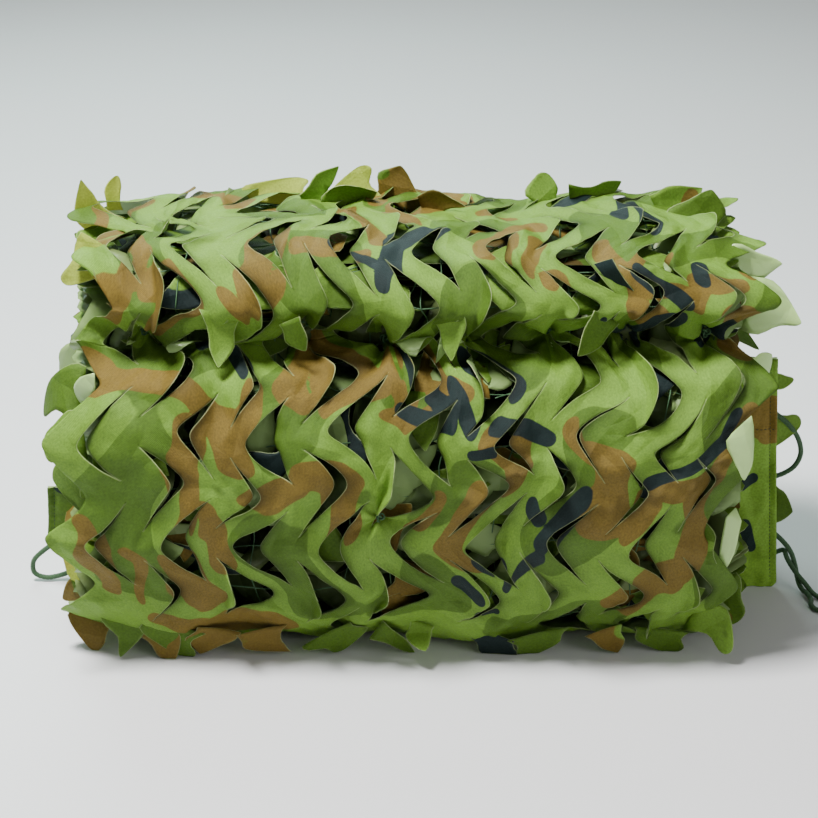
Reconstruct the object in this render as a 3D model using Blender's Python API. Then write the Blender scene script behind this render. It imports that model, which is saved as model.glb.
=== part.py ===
"""Camouflage netting folded into a bundle: leaf-cut cloth, its border bands and rope loops.

The cloth is one long sheet, folded back and forth. Its last fold wraps over the top, down
the front and under the bundle, and is drawn in along a lacing line that parts the front
into a low upper bulge and a tall lower one. The border bands are sewn strips that show at
the two ends, and the rope of the border stands out of them in loops.
X runs along the bundle, the front faces -Y and the origin is at the bottom centre.
"""

import math

import bpy
import numpy as np

MM = 0.001

# Cloth
CLOTH = 2.2 * MM  # thickness of the leaf-cut cloth
CLOTH_WIDTH = 540 * MM  # cut width of the cloth, which lies along X
CLOTH_REST = CLOTH / 2  # height of the cloth's middle where it lies on the ground

# Leaf cuts: staggered rows of > and < slits along a rounded zigzag
SLIT_LINE = 30 * MM  # from one slit line to the next
LINE_QUADS = 2  # faces across the strip between two slit lines
WAVE = 100  # length of one zigzag, in mm of cloth
WAVE_RISE = 17 * MM  # sideways swing of the zigzag to either side
HALF_SLIT = 35  # half of a slit, in mm of cloth
WAVE_ROWS = (10, 25, 40, 60, 75, 90)  # rows of points in one zigzag, in mm of cloth
LACED_ROWS = (0, 50)  # rows added where the lacing draws the cloth in
LACED_REACH = 45  # how far from the lacing they are added, in mm of cloth
POINT_RIGHT = 25  # where in the zigzag a > slit has its point
POINT_LEFT = 75  # where in the zigzag a < slit has its point
SLIT_SPREAD = (0.7, 1.45)  # narrowest and widest slit beside the usual one
LEAF_LIFT = 0.55  # how far a leaf's point stands off, beside its slit's width
LEAF_SINK = 0.2  # how far the edge across the slit sinks, beside its width
LEAF_CROWN = 0.8 * MM  # how far the middle of each strip stands off

# Outer wrap, from its free edge at the back over the top and down the front.
# Depth and height of the cloth's middle, reach to the left and right, usual slit, in mm.
OUTER_WRAP = (
    # section          depth  height  left  right  slit
    ("free edge",        126,   286,  -250,  238,  12),
    ("back of the top",  117,   314,  -255,  240,  15),
    ("top, back",         84,   324,  -256,  242,  16),
    ("top, middle",       35,   326,  -254,  248,  16),
    ("top, front",       -18,   326,  -248,  254,  15),
    ("upper shoulder",   -54,   316,  -243,  262,  13),
    ("upper bulge",      -79,   287,  -242,  268,  12),
    ("lacing line",      -57,   255,  -248,  270,  11),
    ("lower shoulder",   -97,   235,  -254,  262,  12),
    ("lower face, top", -120,   196,  -260,  248,   9),
    ("lower bulge",     -128,   132,  -265,  237,   9),
    ("lower face, low", -121,    72,  -266,  235,   8),
    ("turned under",    -102,    26,  -262,  240,   7),
    ("ground, front",    -78,   3.5,  -264,  244,   6),
    ("ground",           -48,   1.1,  -272,  256,   6),
)
UPPER_SHOULDER = 5  # row of the table where the front begins
LACING = 7  # row of the table where the lacing runs
LAST_CUT = 12  # row of the table past which the cloth is whole, out of sight
TIE_PITCH = 60 * MM  # from one tie of the lacing to the next
TIE_PULL = 7 * MM  # how far a tie draws the cloth in
TIE_REACH = 17 * MM
END_TUCK = 9 * MM  # how far the ends of the wrap turn in
# Soft swells of the wrap: height, length along X, length along the cloth, start of its wave
SWELLS = ((3.0 * MM, 0.23, 0.31, 0.4), (2.2 * MM, 0.13, 0.19, 2.1), (1.5 * MM, 0.071, 0.11, 4.0))
SADDLE = (85 * MM, 9 * MM, 42 * MM)  # place along X, depth and half width of the top's dip

# Inner layers
LAYER_PITCH = 27 * MM
LAYERS = 11
LAYER_STRIPS = 10  # faces across a layer
LAYER_LEFT = -287 * MM  # where the layers end, at the ground
LAYER_RIGHT = 277 * MM
END_LEAN = 0.085  # how far both ends lean in, for each unit of height
FRONT_SHORT = 26 * MM  # how much further in the folds behind the wrap end
FRONT_SLOPE = 80 * MM  # depth over which the ends draw in towards the front
BACK_REACH = (105, 96, 109, 99, 107, 100)  # depth of each fold at the back, in mm
BACK_WAVE = 4 * MM  # how unevenly a fold runs along the back
BACK_WAVE_LENGTH = 210 * MM
FRONT_CLEAR = 17 * MM  # from the wrap to the folds inside it
FOLD_LEAD = 9 * MM  # straight run on which a fold's slits begin
FOLD_SLITS = (7, 12)  # widths of the slits on the back folds, in mm
LAYER_WAVE = 2.2 * MM  # how far a layer rises and falls
LAYER_WAVE_LENGTH = 310 * MM
MID_DEPTH = -9 * MM  # where a layer has its middle row, in front of the bands

# Border bands, folded double with the fold at the bottom
BAND_PLY = 2.4 * MM
BAND_GAP = 1.4 * MM
BAND_ROWS = 6
SEAT = 0.3 * MM  # clearance between pieces that touch

# Rope of the border
ROPE = 4.4 * MM
ROPE_SIDES = 2  # bevel resolution, which gives 8 sides
TWIST_RADIUS = 2.45 * MM


def clear_scene():
    for old in list(bpy.data.objects):
        bpy.data.objects.remove(old, do_unlink=True)


def finish(name, color, roughness):
    mat = bpy.data.materials.new(name)
    mat.use_nodes = True
    shader = mat.node_tree.nodes["Principled BSDF"]
    shader.inputs["Base Color"].default_value = (*color, 1.0)
    shader.inputs["Roughness"].default_value = roughness
    shader.inputs["Metallic"].default_value = 0.0
    return mat


def add_object(name, data, mat):
    obj = bpy.data.objects.new(name, data)
    data.materials.append(mat)
    bpy.context.scene.collection.objects.link(obj)
    return obj


def thicken(obj, thickness):
    wall = obj.modifiers.new("cloth", "SOLIDIFY")
    wall.thickness = thickness
    wall.offset = 0.0
    wall.use_even_offset = False


def smooth(keys, values, at):
    """A smooth curve through values at keys, each tangent taken from its two neighbours."""
    keys, values, at = (np.asarray(a, float) for a in (keys, values, at))
    slope = np.gradient(values, keys)
    i = np.clip(np.searchsorted(keys, at, side="right") - 1, 0, len(keys) - 2)
    step = keys[i + 1] - keys[i]
    t = (at - keys[i]) / step
    return (
        (2 * t**3 - 3 * t**2 + 1) * values[i]
        + (t**3 - 2 * t**2 + t) * step * slope[i]
        + (3 * t**2 - 2 * t**3) * values[i + 1]
        + (t**3 - t**2) * step * slope[i + 1]
    )


class Wrap:
    """The outer wrap as a surface of cloth width q and cloth length s, both in metres."""

    def __init__(self):
        rows = np.array([row[1:] for row in OUTER_WRAP]) * MM
        depth, height, self.left, self.right, self.slit = rows.T
        steps = np.hypot(np.diff(depth), np.diff(height))
        self.keys = np.concatenate(([0.0], np.cumsum(steps)))
        self.depth, self.height = depth, height
        self.length = self.keys[-1]
        self.lacing = self.keys[LACING]
        self.last_cut = self.keys[LAST_CUT]

    def profile(self, s):
        return smooth(self.keys, self.depth, s), smooth(self.keys, self.height, s)

    def normal(self, s):
        """Unit normal of the profile, which points out of the bundle."""
        step = 0.5 * MM
        y0, z0 = self.profile(s - step)
        y1, z1 = self.profile(s + step)
        size = np.hypot(y1 - y0, z1 - z0)
        return (z1 - z0) / size, -(y1 - y0) / size

    def fade(self, s):
        """One where the cloth is cut, falling to zero where it reaches the ground."""
        return np.clip((self.length - s) / (self.length - self.last_cut), 0, 1)

    def zigzag(self, s):
        """A rounded zigzag from -1 to 1."""
        turn = 2 * math.pi * s / (WAVE * MM)
        return 0.86 * np.arcsin(np.sin(turn)) * 2 / math.pi + 0.14 * np.sin(turn)

    def across(self, q, s):
        share = q / CLOTH_WIDTH + 0.5
        left, right = smooth(self.keys, self.left, s), smooth(self.keys, self.right, s)
        return left + (right - left) * share + WAVE_RISE * self.fade(s) * self.zigzag(s)

    def swell(self, x, s):
        total = sum(
            size * np.sin(2 * math.pi * x / along + start)
            * np.cos(2 * math.pi * s / down + 1.7 * start)
            for size, along, down, start in SWELLS
        )
        nearest = x - TIE_PITCH * np.round(x / TIE_PITCH)
        near = np.exp(-(nearest**2 + (s - self.lacing) ** 2) / (2 * TIE_REACH**2))
        place, depth, half_width = SADDLE
        on_top = np.clip(1.5 * (1 - s / self.lacing), 0, 1)
        dip = depth * on_top * np.exp(-(((x - place) / half_width) ** 2))
        return (total - TIE_PULL * near - dip) * self.fade(s)

    def place(self, q, s, lift):
        """Points of the wrap; lift is how far each stands off the bundle."""
        x = self.across(q, s)
        y, z = self.profile(s)
        out_y, out_z = self.normal(s)
        tuck = END_TUCK * np.abs(2 * q / CLOTH_WIDTH) ** 8 * self.fade(s)
        off = lift + self.swell(x, s) - tuck
        return np.stack([x, y + out_y * off, np.maximum(z + out_z * off, CLOTH_REST)], -1)


class Sheet:
    """The middle surface of a sheet, row by row, with points doubled along its slits."""

    def __init__(self):
        self.points, self.faces, self.rows = [], [], []

    def add_row(self, left, right, apart):
        """A row of points. Where apart is true, the left and right lip have a point each."""
        ids = []
        for a, b, two in zip(left, right, apart):
            first = len(self.points)
            self.points.append(tuple(a))
            if two:
                self.points.append(tuple(b))
            ids.append((first, first + 1 if two else first))
        self.rows.append(ids)

    def join_like_rows(self, first, last):
        """Faces between rows that have the same number of points."""
        for above, below in zip(self.rows[first:last], self.rows[first + 1 : last + 1]):
            for j in range(len(above) - 1):
                a, b = above[j][1], above[j + 1][0]
                c, d = below[j + 1][0], below[j][1]
                self.faces.append((a, d, c, b))

    def join_unlike_rows(self, fine, coarse):
        """Triangles between a row of many points and the next row of few."""
        above, below = self.rows[fine], self.rows[coarse]
        i = j = 0
        while i < len(above) - 1 or j < len(below) - 1:
            ahead_fine = (i + 1) / (len(above) - 1) if i < len(above) - 1 else math.inf
            ahead_coarse = (j + 1) / (len(below) - 1) if j < len(below) - 1 else math.inf
            if ahead_fine <= ahead_coarse:
                self.faces.append((above[i][1], below[j][1], above[i + 1][0]))
                i += 1
            else:
                self.faces.append((above[i][1], below[j][1], below[j + 1][0]))
                j += 1


def wrap_rows(wrap):
    """Cloth lengths of the wrap's rows, in whole millimetres."""
    lacing, end = round(wrap.lacing / MM), round(wrap.length / MM)
    steps = [
        s
        for s in range(WAVE_ROWS[0], end - WAVE_ROWS[0] // 2)
        if s % WAVE in WAVE_ROWS or (s % WAVE in LACED_ROWS and abs(s - lacing) <= LACED_REACH)
    ]
    return steps + [end]


def slit_at(s, line, last_cut):
    """Place along the slit that crosses row s, from -1 to 1, and its number, or None."""
    point = POINT_RIGHT if line % 2 else POINT_LEFT
    number = round((s - point) / WAVE)
    middle = point + number * WAVE
    along = (s - middle) / HALF_SLIT
    whole = middle + HALF_SLIT <= last_cut
    return (along, number) if abs(along) < 1 and whole else None


def add_wrap(sheet, wrap):
    """Rows of the outer wrap with its leaf cuts, each slit opened and its leaf lifted."""
    chance = np.random.default_rng(41)
    spread = chance.uniform(*SLIT_SPREAD, size=(40, 12))
    lines = round(CLOTH_WIDTH / SLIT_LINE)
    columns = lines * LINE_QUADS + 1
    q = (np.arange(columns) / (columns - 1) - 0.5) * CLOTH_WIDTH
    last_cut = round(wrap.last_cut / MM)
    for step in wrap_rows(wrap):
        s = step * MM
        usual = smooth(wrap.keys, wrap.slit, s)
        aside = np.zeros((2, columns))  # how far each lip moves along the cloth
        lift = np.zeros((2, columns))
        apart = np.zeros(columns, bool)
        for line in range(1, lines):
            found = slit_at(step, line, last_cut)
            if found is None:
                continue
            along, number = found
            j = line * LINE_QUADS
            width = usual * spread[line, number + 1] * math.sqrt(1 - along**2)
            leaf = 0 if line % 2 else 1  # the leaf lies left of a > slit, right of a < slit
            aside[:, j] = (-width / 2, width / 2)
            lift[leaf, j] = LEAF_LIFT * width
            lift[1 - leaf, j] = -LEAF_SINK * width
            apart[j] = True
        for j in range(1, columns, LINE_QUADS):
            after = min(j + 1, columns - 1)
            aside[:, j] = (aside[1, j - 1] + aside[0, after]) / 2
            lift[:, j] = (lift[1, j - 1] + lift[0, after]) / 2 + LEAF_CROWN
        left, right = (wrap.place(q + aside[k], s, lift[k]) for k in (0, 1))
        sheet.add_row(left, right, apart)
    sheet.join_like_rows(0, len(sheet.rows) - 1)


def front_limit(wrap, height):
    """The rearmost depth of the front of the wrap within half a fold of a height."""
    s = np.arange(wrap.keys[UPPER_SHOULDER], wrap.length, 2 * MM)
    y, z = wrap.profile(s)
    return y[np.abs(z - height) < LAYER_PITCH].max() + FRONT_CLEAR


def fold_path(wrap):
    """Depth, height and slit opening (0 to 1) of each row of the layers, in order.

    Layer 0 lies on the ground. Even layers run to the back and odd ones to the front."""
    half = LAYER_PITCH / 2
    path = []
    for layer in range(LAYERS + 1):
        height = CLOTH_REST + layer * LAYER_PITCH
        to_back = layer % 2 == 0
        path.append((MID_DEPTH, height, 0.0))
        if layer == LAYERS:
            path.append((front_limit(wrap, height), height, 0.0))
            break
        middle = height + half
        if to_back:
            end = BACK_REACH[layer // 2] * MM - half
            path.append((end - FOLD_LEAD, height, 0.0))
            for turn, gap in ((0, 0.55), (60, 1), (120, 1), (180, 0.55)):
                turned = math.radians(turn)
                path.append((end + half * math.sin(turned), middle - half * math.cos(turned), gap))
            path.append((end - FOLD_LEAD, height + LAYER_PITCH, 0.0))
        else:
            end = front_limit(wrap, middle) + half
            for turn in (0, 90, 180):
                turned = math.radians(turn)
                path.append((end - half * math.sin(turned), middle - half * math.cos(turned), 0.0))
    return path


def layer_ends(height):
    """Where the layers end on the left and right at a height."""
    return LAYER_LEFT + END_LEAN * height, LAYER_RIGHT - END_LEAN * height


def add_layers(sheet, wrap):
    """Rows of the layers inside the wrap, with slits over the folds at the back."""
    chance = np.random.default_rng(7)
    share = np.arange(LAYER_STRIPS + 1) / LAYER_STRIPS
    inside = np.arange(LAYER_STRIPS + 1) % LAYER_STRIPS > 0
    level_ends = np.clip(np.minimum(share, 1 - share) * LAYER_STRIPS - 1, 0, 1)
    first = len(sheet.rows)
    width = chance.uniform(*FOLD_SLITS, size=(LAYERS, LAYER_STRIPS + 1)) * MM
    start = chance.uniform(0, 2 * math.pi, size=LAYERS + 1)
    for y, z, gap in fold_path(wrap):
        layer, fold = round(z / LAYER_PITCH), int(z / (2 * LAYER_PITCH))
        left_end, right_end = layer_ends(z)
        short = FRONT_SHORT * min(1.0, max(0.0, (MID_DEPTH - y) / FRONT_SLOPE))
        x = left_end + short + (right_end - left_end - 2 * short) * share
        rising = LAYER_WAVE * level_ends * min(1.0, (z - CLOTH_REST) / LAYER_PITCH)
        height = z + rising * np.sin(2 * math.pi * x / LAYER_WAVE_LENGTH + start[layer])
        back = BACK_WAVE * max(0.0, y - MID_DEPTH) / (BACK_REACH[0] * MM)
        depth = y + back * np.sin(2 * math.pi * x / BACK_WAVE_LENGTH + start[fold])
        opened = gap * width[fold] * inside / 2
        left, right = (np.stack([x + side * opened, depth, height], -1) for side in (-1, 1))
        sheet.add_row(left, right, inside & (gap > 0))
    sheet.join_unlike_rows(first - 1, first)
    sheet.join_like_rows(first, len(sheet.rows) - 1)


def folded_net(mat):
    """The whole leaf-cut cloth as one solid, made thick on both sides of its middle."""
    wrap, sheet = Wrap(), Sheet()
    add_wrap(sheet, wrap)
    add_layers(sheet, wrap)
    mesh = bpy.data.meshes.new("folded_net")
    mesh.from_pydata(sheet.points, [], sheet.faces)
    mesh.update()
    obj = add_object("folded_net", mesh, mat)
    thicken(obj, CLOTH)
    return obj


def border_band(name, mat, inner, outer, low, high, depth, chamfer, bow):
    """A strip folded double, seen from the front as a flat face between inner and outer.

    Its middle surface is a U with the fold at the bottom, carried from inner to outer, which
    are its edges at the ground. It leans in as the layers' ends do. The outer bottom corner
    is cut off by the chamfer, and bow is how far the strip bends back half way up."""
    bend = (BAND_PLY + BAND_GAP) / 2
    rise = np.linspace(low + BAND_PLY / 2 + bend, high, BAND_ROWS + 1)
    front = [(depth, z) for z in rise[::-1]]
    turn = [
        (depth + bend - bend * math.cos(a), rise[0] - bend * math.sin(a))
        for a in np.radians((45, 90, 135))
    ]
    behind = [(depth + 2 * bend, z) for z in rise]
    side = 1 if outer > inner else -1
    sheet = Sheet()
    for y, z in front + turn + behind:
        along = (z - low) / (high - low)
        cut = max(0.0, chamfer - (z - low)) + END_LEAN * z
        bent = bow * math.sin(math.pi * along)
        inside, outside = inner - side * END_LEAN * z, outer - side * cut
        row = [(x, y + bent, z) for x in (inside, (inside + outside) / 2, outside)]
        row = row[::side]
        sheet.add_row(row, row, (False, False, False))
    sheet.join_like_rows(0, len(sheet.rows) - 1)
    mesh = bpy.data.meshes.new(name)
    mesh.from_pydata(sheet.points, [], sheet.faces)
    mesh.update()
    obj = add_object(name, mesh, mat)
    thicken(obj, BAND_PLY)
    return obj


def smooth_route(route, spacing):
    """Points at an even spacing on the smooth curve through a rope's route."""
    route = np.array(route) * MM
    keys = np.concatenate(([0.0], np.cumsum(np.linalg.norm(np.diff(route, axis=0), axis=1))))
    fine = np.linspace(0, keys[-1], 600)
    line = np.stack([smooth(keys, route[:, k], fine) for k in range(3)], -1)
    run = np.concatenate(([0.0], np.cumsum(np.linalg.norm(np.diff(line, axis=0), axis=1))))
    count = max(8, round(run[-1] / spacing))
    at = np.linspace(0, run[-1], count + 1)
    return np.stack([np.interp(at, run, line[:, k]) for k in range(3)], -1)


def rope(name, mat, points):
    """A round rope on one open line of points, with closed ends."""
    curve = bpy.data.curves.new(name, "CURVE")
    curve.dimensions = "3D"
    curve.bevel_depth = ROPE / 2
    curve.bevel_resolution = ROPE_SIDES
    curve.use_fill_caps = True
    line = curve.splines.new("POLY")
    line.points.add(len(points) - 1)
    for point, place in zip(line.points, points):
        point.co = (*place, 1.0)
    return add_object(name, curve, mat)


# Routes of the rope loops, in mm: each comes out from between two layers, stands out past
# its band and goes back in. ON gives a rope's height where it lies on a layer.
ON = [(LAYER_PITCH * k + CLOTH + SEAT + ROPE / 2) / MM for k in range(LAYERS + 1)]
LEFT_LOOP = (
    (-262, 17, ON[1]), (-273, 16, ON[1]), (-284, 14.5, 34), (-294, 13.5, 39), (-304, 13, 37.5),
    (-316, 13, 30), (-326, 13, 18), (-325.5, 13, 8), (-316, 13, 3.6), (-306, 13.5, 4.8),
    (-296, 14.5, 7.4), (-286, 16, 6.8), (-276, 17, 5.2), (-262, 18, ON[0]),
)
RIGHT_LOOP = (
    (246, 22, ON[6]), (258, 21, ON[6]), (271, 19.5, 167), (286, 18, 163.5), (300, 17, 156),
    (311, 16, 146), (319, 16, 133.5), (321.5, 16, 120), (317, 16, 109), (309, 16.5, 102.5),
    (299, 17.5, 98), (288, 18.5, 93), (276, 20, 88), (264, 21, ON[3]), (250, 22, ON[3]),
)
BIGHT_UPPER = (
    (256, 22, ON[2]), (268, 20.5, ON[2]), (282, 18, 58), (296, 14.5, 53.5), (308, 11.5, 45.5),
)
BIGHT_AXIS = ((317, 8.5, 33), (323, 4, 20), (328, -3, 10), (331.5, -9, 6), (334, -14, 4.9))
BIGHT_END = (
    (334.5, -21, 2.6), (333, -30, 2.4), (337, -38.5, 2.4), (345, -38, 2.4),
    (348.5, -30, 2.4), (344, -22, 2.6),
)
BIGHT_LOWER = (
    (306, 14.5, 27), (295, 17.5, 29.5), (284, 19.5, 32), (272, 21, ON[1]), (258, 22, ON[1]),
)


def twisted(axis, radius, start, turn, count):
    """Points that wind round an axis; turn is how far, in degrees."""
    axis = np.array(axis) * MM
    keys = np.concatenate(([0.0], np.cumsum(np.linalg.norm(np.diff(axis, axis=0), axis=1))))
    at = np.linspace(0, keys[-1], count)
    centre = np.stack([smooth(keys, axis[:, k], at) for k in range(3)], -1)
    along = np.gradient(centre, axis=0)
    along /= np.linalg.norm(along, axis=1)[:, None]
    flat = np.cross(along, (0.0, 0.0, 1.0))
    flat /= np.linalg.norm(flat, axis=1)[:, None]
    upright = np.cross(flat, along)
    angle = np.radians(np.linspace(start, start + turn, count))[:, None]
    return centre + radius * (np.cos(angle) * flat + np.sin(angle) * upright)


def bight_points():
    """The rope that comes out, twists with itself, turns round on the ground and returns."""
    out = twisted(BIGHT_AXIS, TWIST_RADIUS, 90, 270, 9) / MM
    back = twisted(BIGHT_AXIS, TWIST_RADIUS, 270, 270, 9)[::-1] / MM
    route = [*BIGHT_UPPER, *out, *BIGHT_END, *back, *BIGHT_LOWER]
    return smooth_route(route, 1.15 * ROPE)


def build():
    clear_scene()
    net = finish("camo_cloth", (0.16, 0.27, 0.07), 0.62)
    band = finish("band_cloth", (0.13, 0.22, 0.06), 0.7)
    cord = finish("rope_green", (0.03, 0.09, 0.04), 0.8)
    folded_net(net)
    border_band(
        "border_band_right", band, LAYER_RIGHT + SEAT, 310 * MM, 0.0, 214 * MM,
        1.5 * MM, 5 * MM, 3 * MM,
    )
    border_band(
        "border_band_left", band, LAYER_LEFT - SEAT, -312.5 * MM, 48 * MM, 98 * MM,
        -1 * MM, 3 * MM, 1 * MM,
    )
    rope("rope_loop_left", cord, smooth_route(LEFT_LOOP, 2 * ROPE))
    rope("rope_loop_right", cord, smooth_route(RIGHT_LOOP, 2 * ROPE))
    rope("rope_bight_right", cord, bight_points())


build()
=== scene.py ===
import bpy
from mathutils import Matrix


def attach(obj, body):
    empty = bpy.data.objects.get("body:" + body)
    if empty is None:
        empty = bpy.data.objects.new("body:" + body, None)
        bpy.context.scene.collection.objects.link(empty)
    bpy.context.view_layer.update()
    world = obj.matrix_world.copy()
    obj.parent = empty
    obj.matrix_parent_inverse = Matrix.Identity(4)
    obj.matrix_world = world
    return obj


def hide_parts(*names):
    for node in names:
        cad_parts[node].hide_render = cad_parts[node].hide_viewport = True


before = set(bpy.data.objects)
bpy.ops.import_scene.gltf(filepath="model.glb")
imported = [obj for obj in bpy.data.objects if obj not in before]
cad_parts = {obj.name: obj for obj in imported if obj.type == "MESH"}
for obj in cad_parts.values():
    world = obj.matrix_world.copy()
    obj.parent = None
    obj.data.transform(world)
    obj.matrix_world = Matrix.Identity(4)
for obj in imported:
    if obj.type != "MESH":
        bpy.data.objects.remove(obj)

"""Camouflage netting folded into a bundle, built as surfaces around its solids.

Every piece is a numpy surface. The cloth is cut in staggered rows of > and < slits, so
that it opens into leaves. X runs along the bundle, the front faces -Y, sizes are metres.
"""

import math

import bpy
import numpy as np
from mathutils import Vector

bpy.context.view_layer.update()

bl_info = {
    "name": "Folded camouflage netting",
    "version": (1, 0, 0),
    "blender": (4, 5, 0),
    "location": "3D View > Sidebar > Netting",
    "description": "Builds a folded bundle of leaf-cut camouflage netting, piece by piece",
    "category": "Add Mesh",
}

MM = 0.001
BODY = "root"
IMAGE_SIDE = 818  # pixels along each side of the render

# ---------------- sizes of the cloth

CLOTH_WIDTH = 540 * MM
LINES = 17
SLIT_LINE = CLOTH_WIDTH / LINES  # from one slit line to the next
WAVE = 90 * MM  # length of one zigzag along the cloth
WAVE_RISE = 17 * MM  # sideways swing of the zigzag to either side
HALF_SLIT = 36 * MM
CUT_START = WAVE * 5 / 16  # where the first zigzag starts along the cloth
FIRST_SLIT = 0.8 * HALF_SLIT  # a slit's middle lies farther along the cloth than this
POINT_RIGHT = WAVE / 4  # where in the zigzag a > slit has its point
POINT_LEFT = 3 * WAVE / 4  # where in the zigzag a < slit has its point
SLIT_END = -0.55  # swing of the zigzag where a slit ends
HINGE_SHIFT = 12 * MM  # how far a leaf's hinge may lie beyond its slit's ends
HINGE_SLANT = 2 * MM  # how far its hinge may slant
WEAVE = 1.3 * MM  # pitch of the weave
# Creases of the cloth: direction in degrees, distance between them in metres, and slope
CREASES = ((20, 0.061, 0.15), (72, 0.053, 0.14), (118, 0.071, 0.13), (158, 0.047, 0.12))
CREASE_WANDER = 4 * MM  # how far a crease strays from its straight line
CUT_SLANT = 0.8  # distance to a slanted cut beside the distance across to it
SLIT_LEAST = 1.5 * MM  # how far even a closed slit gapes
LENS_POWER, LENS_SKEW, LENS_WIDTH = 1.8, 0.75, 1.15  # shape of an open slit
LEAF_LEAN = 0.4  # how unevenly a leaf turns out along its slit
TURN_LIMITS = (-50, 150)  # of a leaf, in degrees
CURL, CURL_SPREAD = 3, 9  # how far a leaf curls past its hinge, in radians for each metre
LOUVER = 1.3 * MM  # how far the edge left of a slit stands over the one right of it
LOUVER_POWER = 1.8  # how quickly that step rises towards the slit
UNDER_SHADE, OVER_SHADE = 0.7, 0.2  # painted shade beside a slit, standing in for the shadow of its edges: on its lower and upper side
SHADE_REACH = 8 * MM
TURN_IN = -0.5  # turn of the leaves that point left, beside those that point right

# Outer wrap, from its free edge at the back over the top and down the front.
# Depth and height, reach to the left and right, width of a slit in mm, and how far a
# leaf turns out in degrees, as a middle value and a spread.
OUTER_WRAP = (
    # section          depth  height  left  right  slit turn spread
    ("free edge",        126,   286,  -250,  238,   8,   8,  8),
    ("back of the top",  117,   314,  -255,  240,  10,   4,  6),
    ("top, back",         84,   324,  -256,  242,  12,   2,  5),
    ("top, middle",       35,   326,  -254,  248,  12,   2,  4),
    ("top, front",       -18,   326,  -248,  254,  12,   3,  6),
    ("upper shoulder",   -54,   316,  -243,  253,  11,   4,  8),
    ("upper bulge",      -79,   287,  -242,  256,  11,   6, 10),
    ("lacing line",      -55,   255,  -248,  262,  13,  18, 20),
    ("lower shoulder",   -97,   235,  -254,  259,  9,   6,  9),
    ("lower face, top", -120,   196,  -260,  248,  9,   5,  8),
    ("lower bulge",     -128,   132,  -265,  237,  9,   5,  8),
    ("lower face, low", -121,    72,  -266,  235,  10,   6, 10),
    ("turned under",    -104,    28,  -262,  240,  12,  10, 16),
    ("ground, front",    -78,   3.5,  -264,  244,   8,  12, 10),
    ("ground",           -48,   1.1,  -272,  256,   0,   0,  0),
)
SHOULDER = 5  # row of the table where the front begins
LACING = 7  # row of the table where the lacing runs
LAST_CUT = 13  # row of the table past which the cloth is whole, out of sight
SIDE_DRAW = 10 * MM  # how far the middle of the front is drawn to the right
END_TUCK = 9 * MM  # how far the ends of the wrap turn in
SWELLS = ((3.0 * MM, 0.23, 0.31, 0.4), (2.2 * MM, 0.13, 0.19, 2.1), (1.5 * MM, 0.071, 0.11, 4.0))
SADDLE = (85 * MM, 9 * MM, 42 * MM)  # place along X, depth and half width of the top's dip

# Inner layers
LAYER_PITCH = 27 * MM
LAYERS = 11
LAYER_LEFT = -287 * MM
LAYER_RIGHT = 277 * MM
END_LEAN = 0.085  # how far both ends lean in, for each unit of height
BACK_REACH = (105, 96, 109, 99, 107, 100)  # depth of each fold at the back, in mm
FRONT_CLEAR = 17 * MM
FRONT_SHORT = 26 * MM
FRONT_SLOPE = 80 * MM
MID_DEPTH = -9 * MM
CLOTH_REST = 1.1 * MM

# Border bands: name, edges at the ground, bottom and top, depth, bottom corner cut off and
# how far it bends back half way up, in mm
BANDS = (
    ("right", 277.3, 310.0, 0.0, 214.0, 1.5, 5.0, 3.0),
    ("left", -287.3, -312.5, 48.0, 98.0, -1.0, 3.0, 1.0),
)
BAND_GAP = 3.8 * MM  # between the two plies, middle to middle
BAND_CLOTH = 0.8 * MM
BAND_HEM = 5.5 * MM  # from the outer edge to its row of stitches
BAND_SEAM = 147 * MM  # height of the seam across the right band

# Border rope
ROPE = 4.4 * MM
SEAT = 0.3 * MM
CAD_CLOTH = 2.2 * MM
ON = [(LAYER_PITCH * k + CAD_CLOTH + SEAT + ROPE / 2) / MM for k in range(LAYERS + 1)]
LEFT_LOOP = (
    (-262, 17, ON[1]), (-273, 16, ON[1]), (-284, 14.5, 34), (-294, 13.5, 39), (-304, 13, 37.5),
    (-316, 13, 30), (-326, 13, 18), (-325.5, 13, 8), (-316, 13, 3.6), (-306, 13.5, 4.8),
    (-296, 14.5, 7.4), (-286, 16, 6.8), (-276, 17, 5.2), (-262, 18, ON[0]),
)
RIGHT_LOOP = (
    (246, 22, ON[6]), (258, 21, ON[6]), (271, 19.5, 167), (286, 18, 163.5), (300, 17, 156),
    (311, 16, 146), (319, 16, 133.5), (321.5, 16, 120), (317, 16, 109), (309, 16.5, 102.5),
    (299, 17.5, 98), (288, 18.5, 93), (276, 20, 88), (264, 21, ON[3]), (250, 22, ON[3]),
)
BIGHT_UPPER = (
    (256, 22, ON[2]), (268, 20.5, ON[2]), (282, 18, 58), (296, 14.5, 53.5), (308, 11.5, 45.5),
)
BIGHT_AXIS = ((317, 8.5, 33), (323, 4, 20), (328, -3, 10), (331.5, -9, 6), (334, -14, 4.9))
BIGHT_END = (
    (334.5, -21, 2.6), (333, -30, 2.4), (337, -38.5, 2.4), (345, -38, 2.4),
    (348.5, -30, 2.4), (344, -22, 2.6),
)
BIGHT_LOWER = (
    (306, 14.5, 27), (295, 17.5, 29.5), (284, 19.5, 32), (272, 21, ON[1]), (258, 22, ON[1]),
)
TWIST_RADIUS = 2.45 * MM
TWIST_POINTS = 9


# ---------------- curves and noise

RIPPLE_WAVES = 9  # waves that are summed into one soft noise


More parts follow.
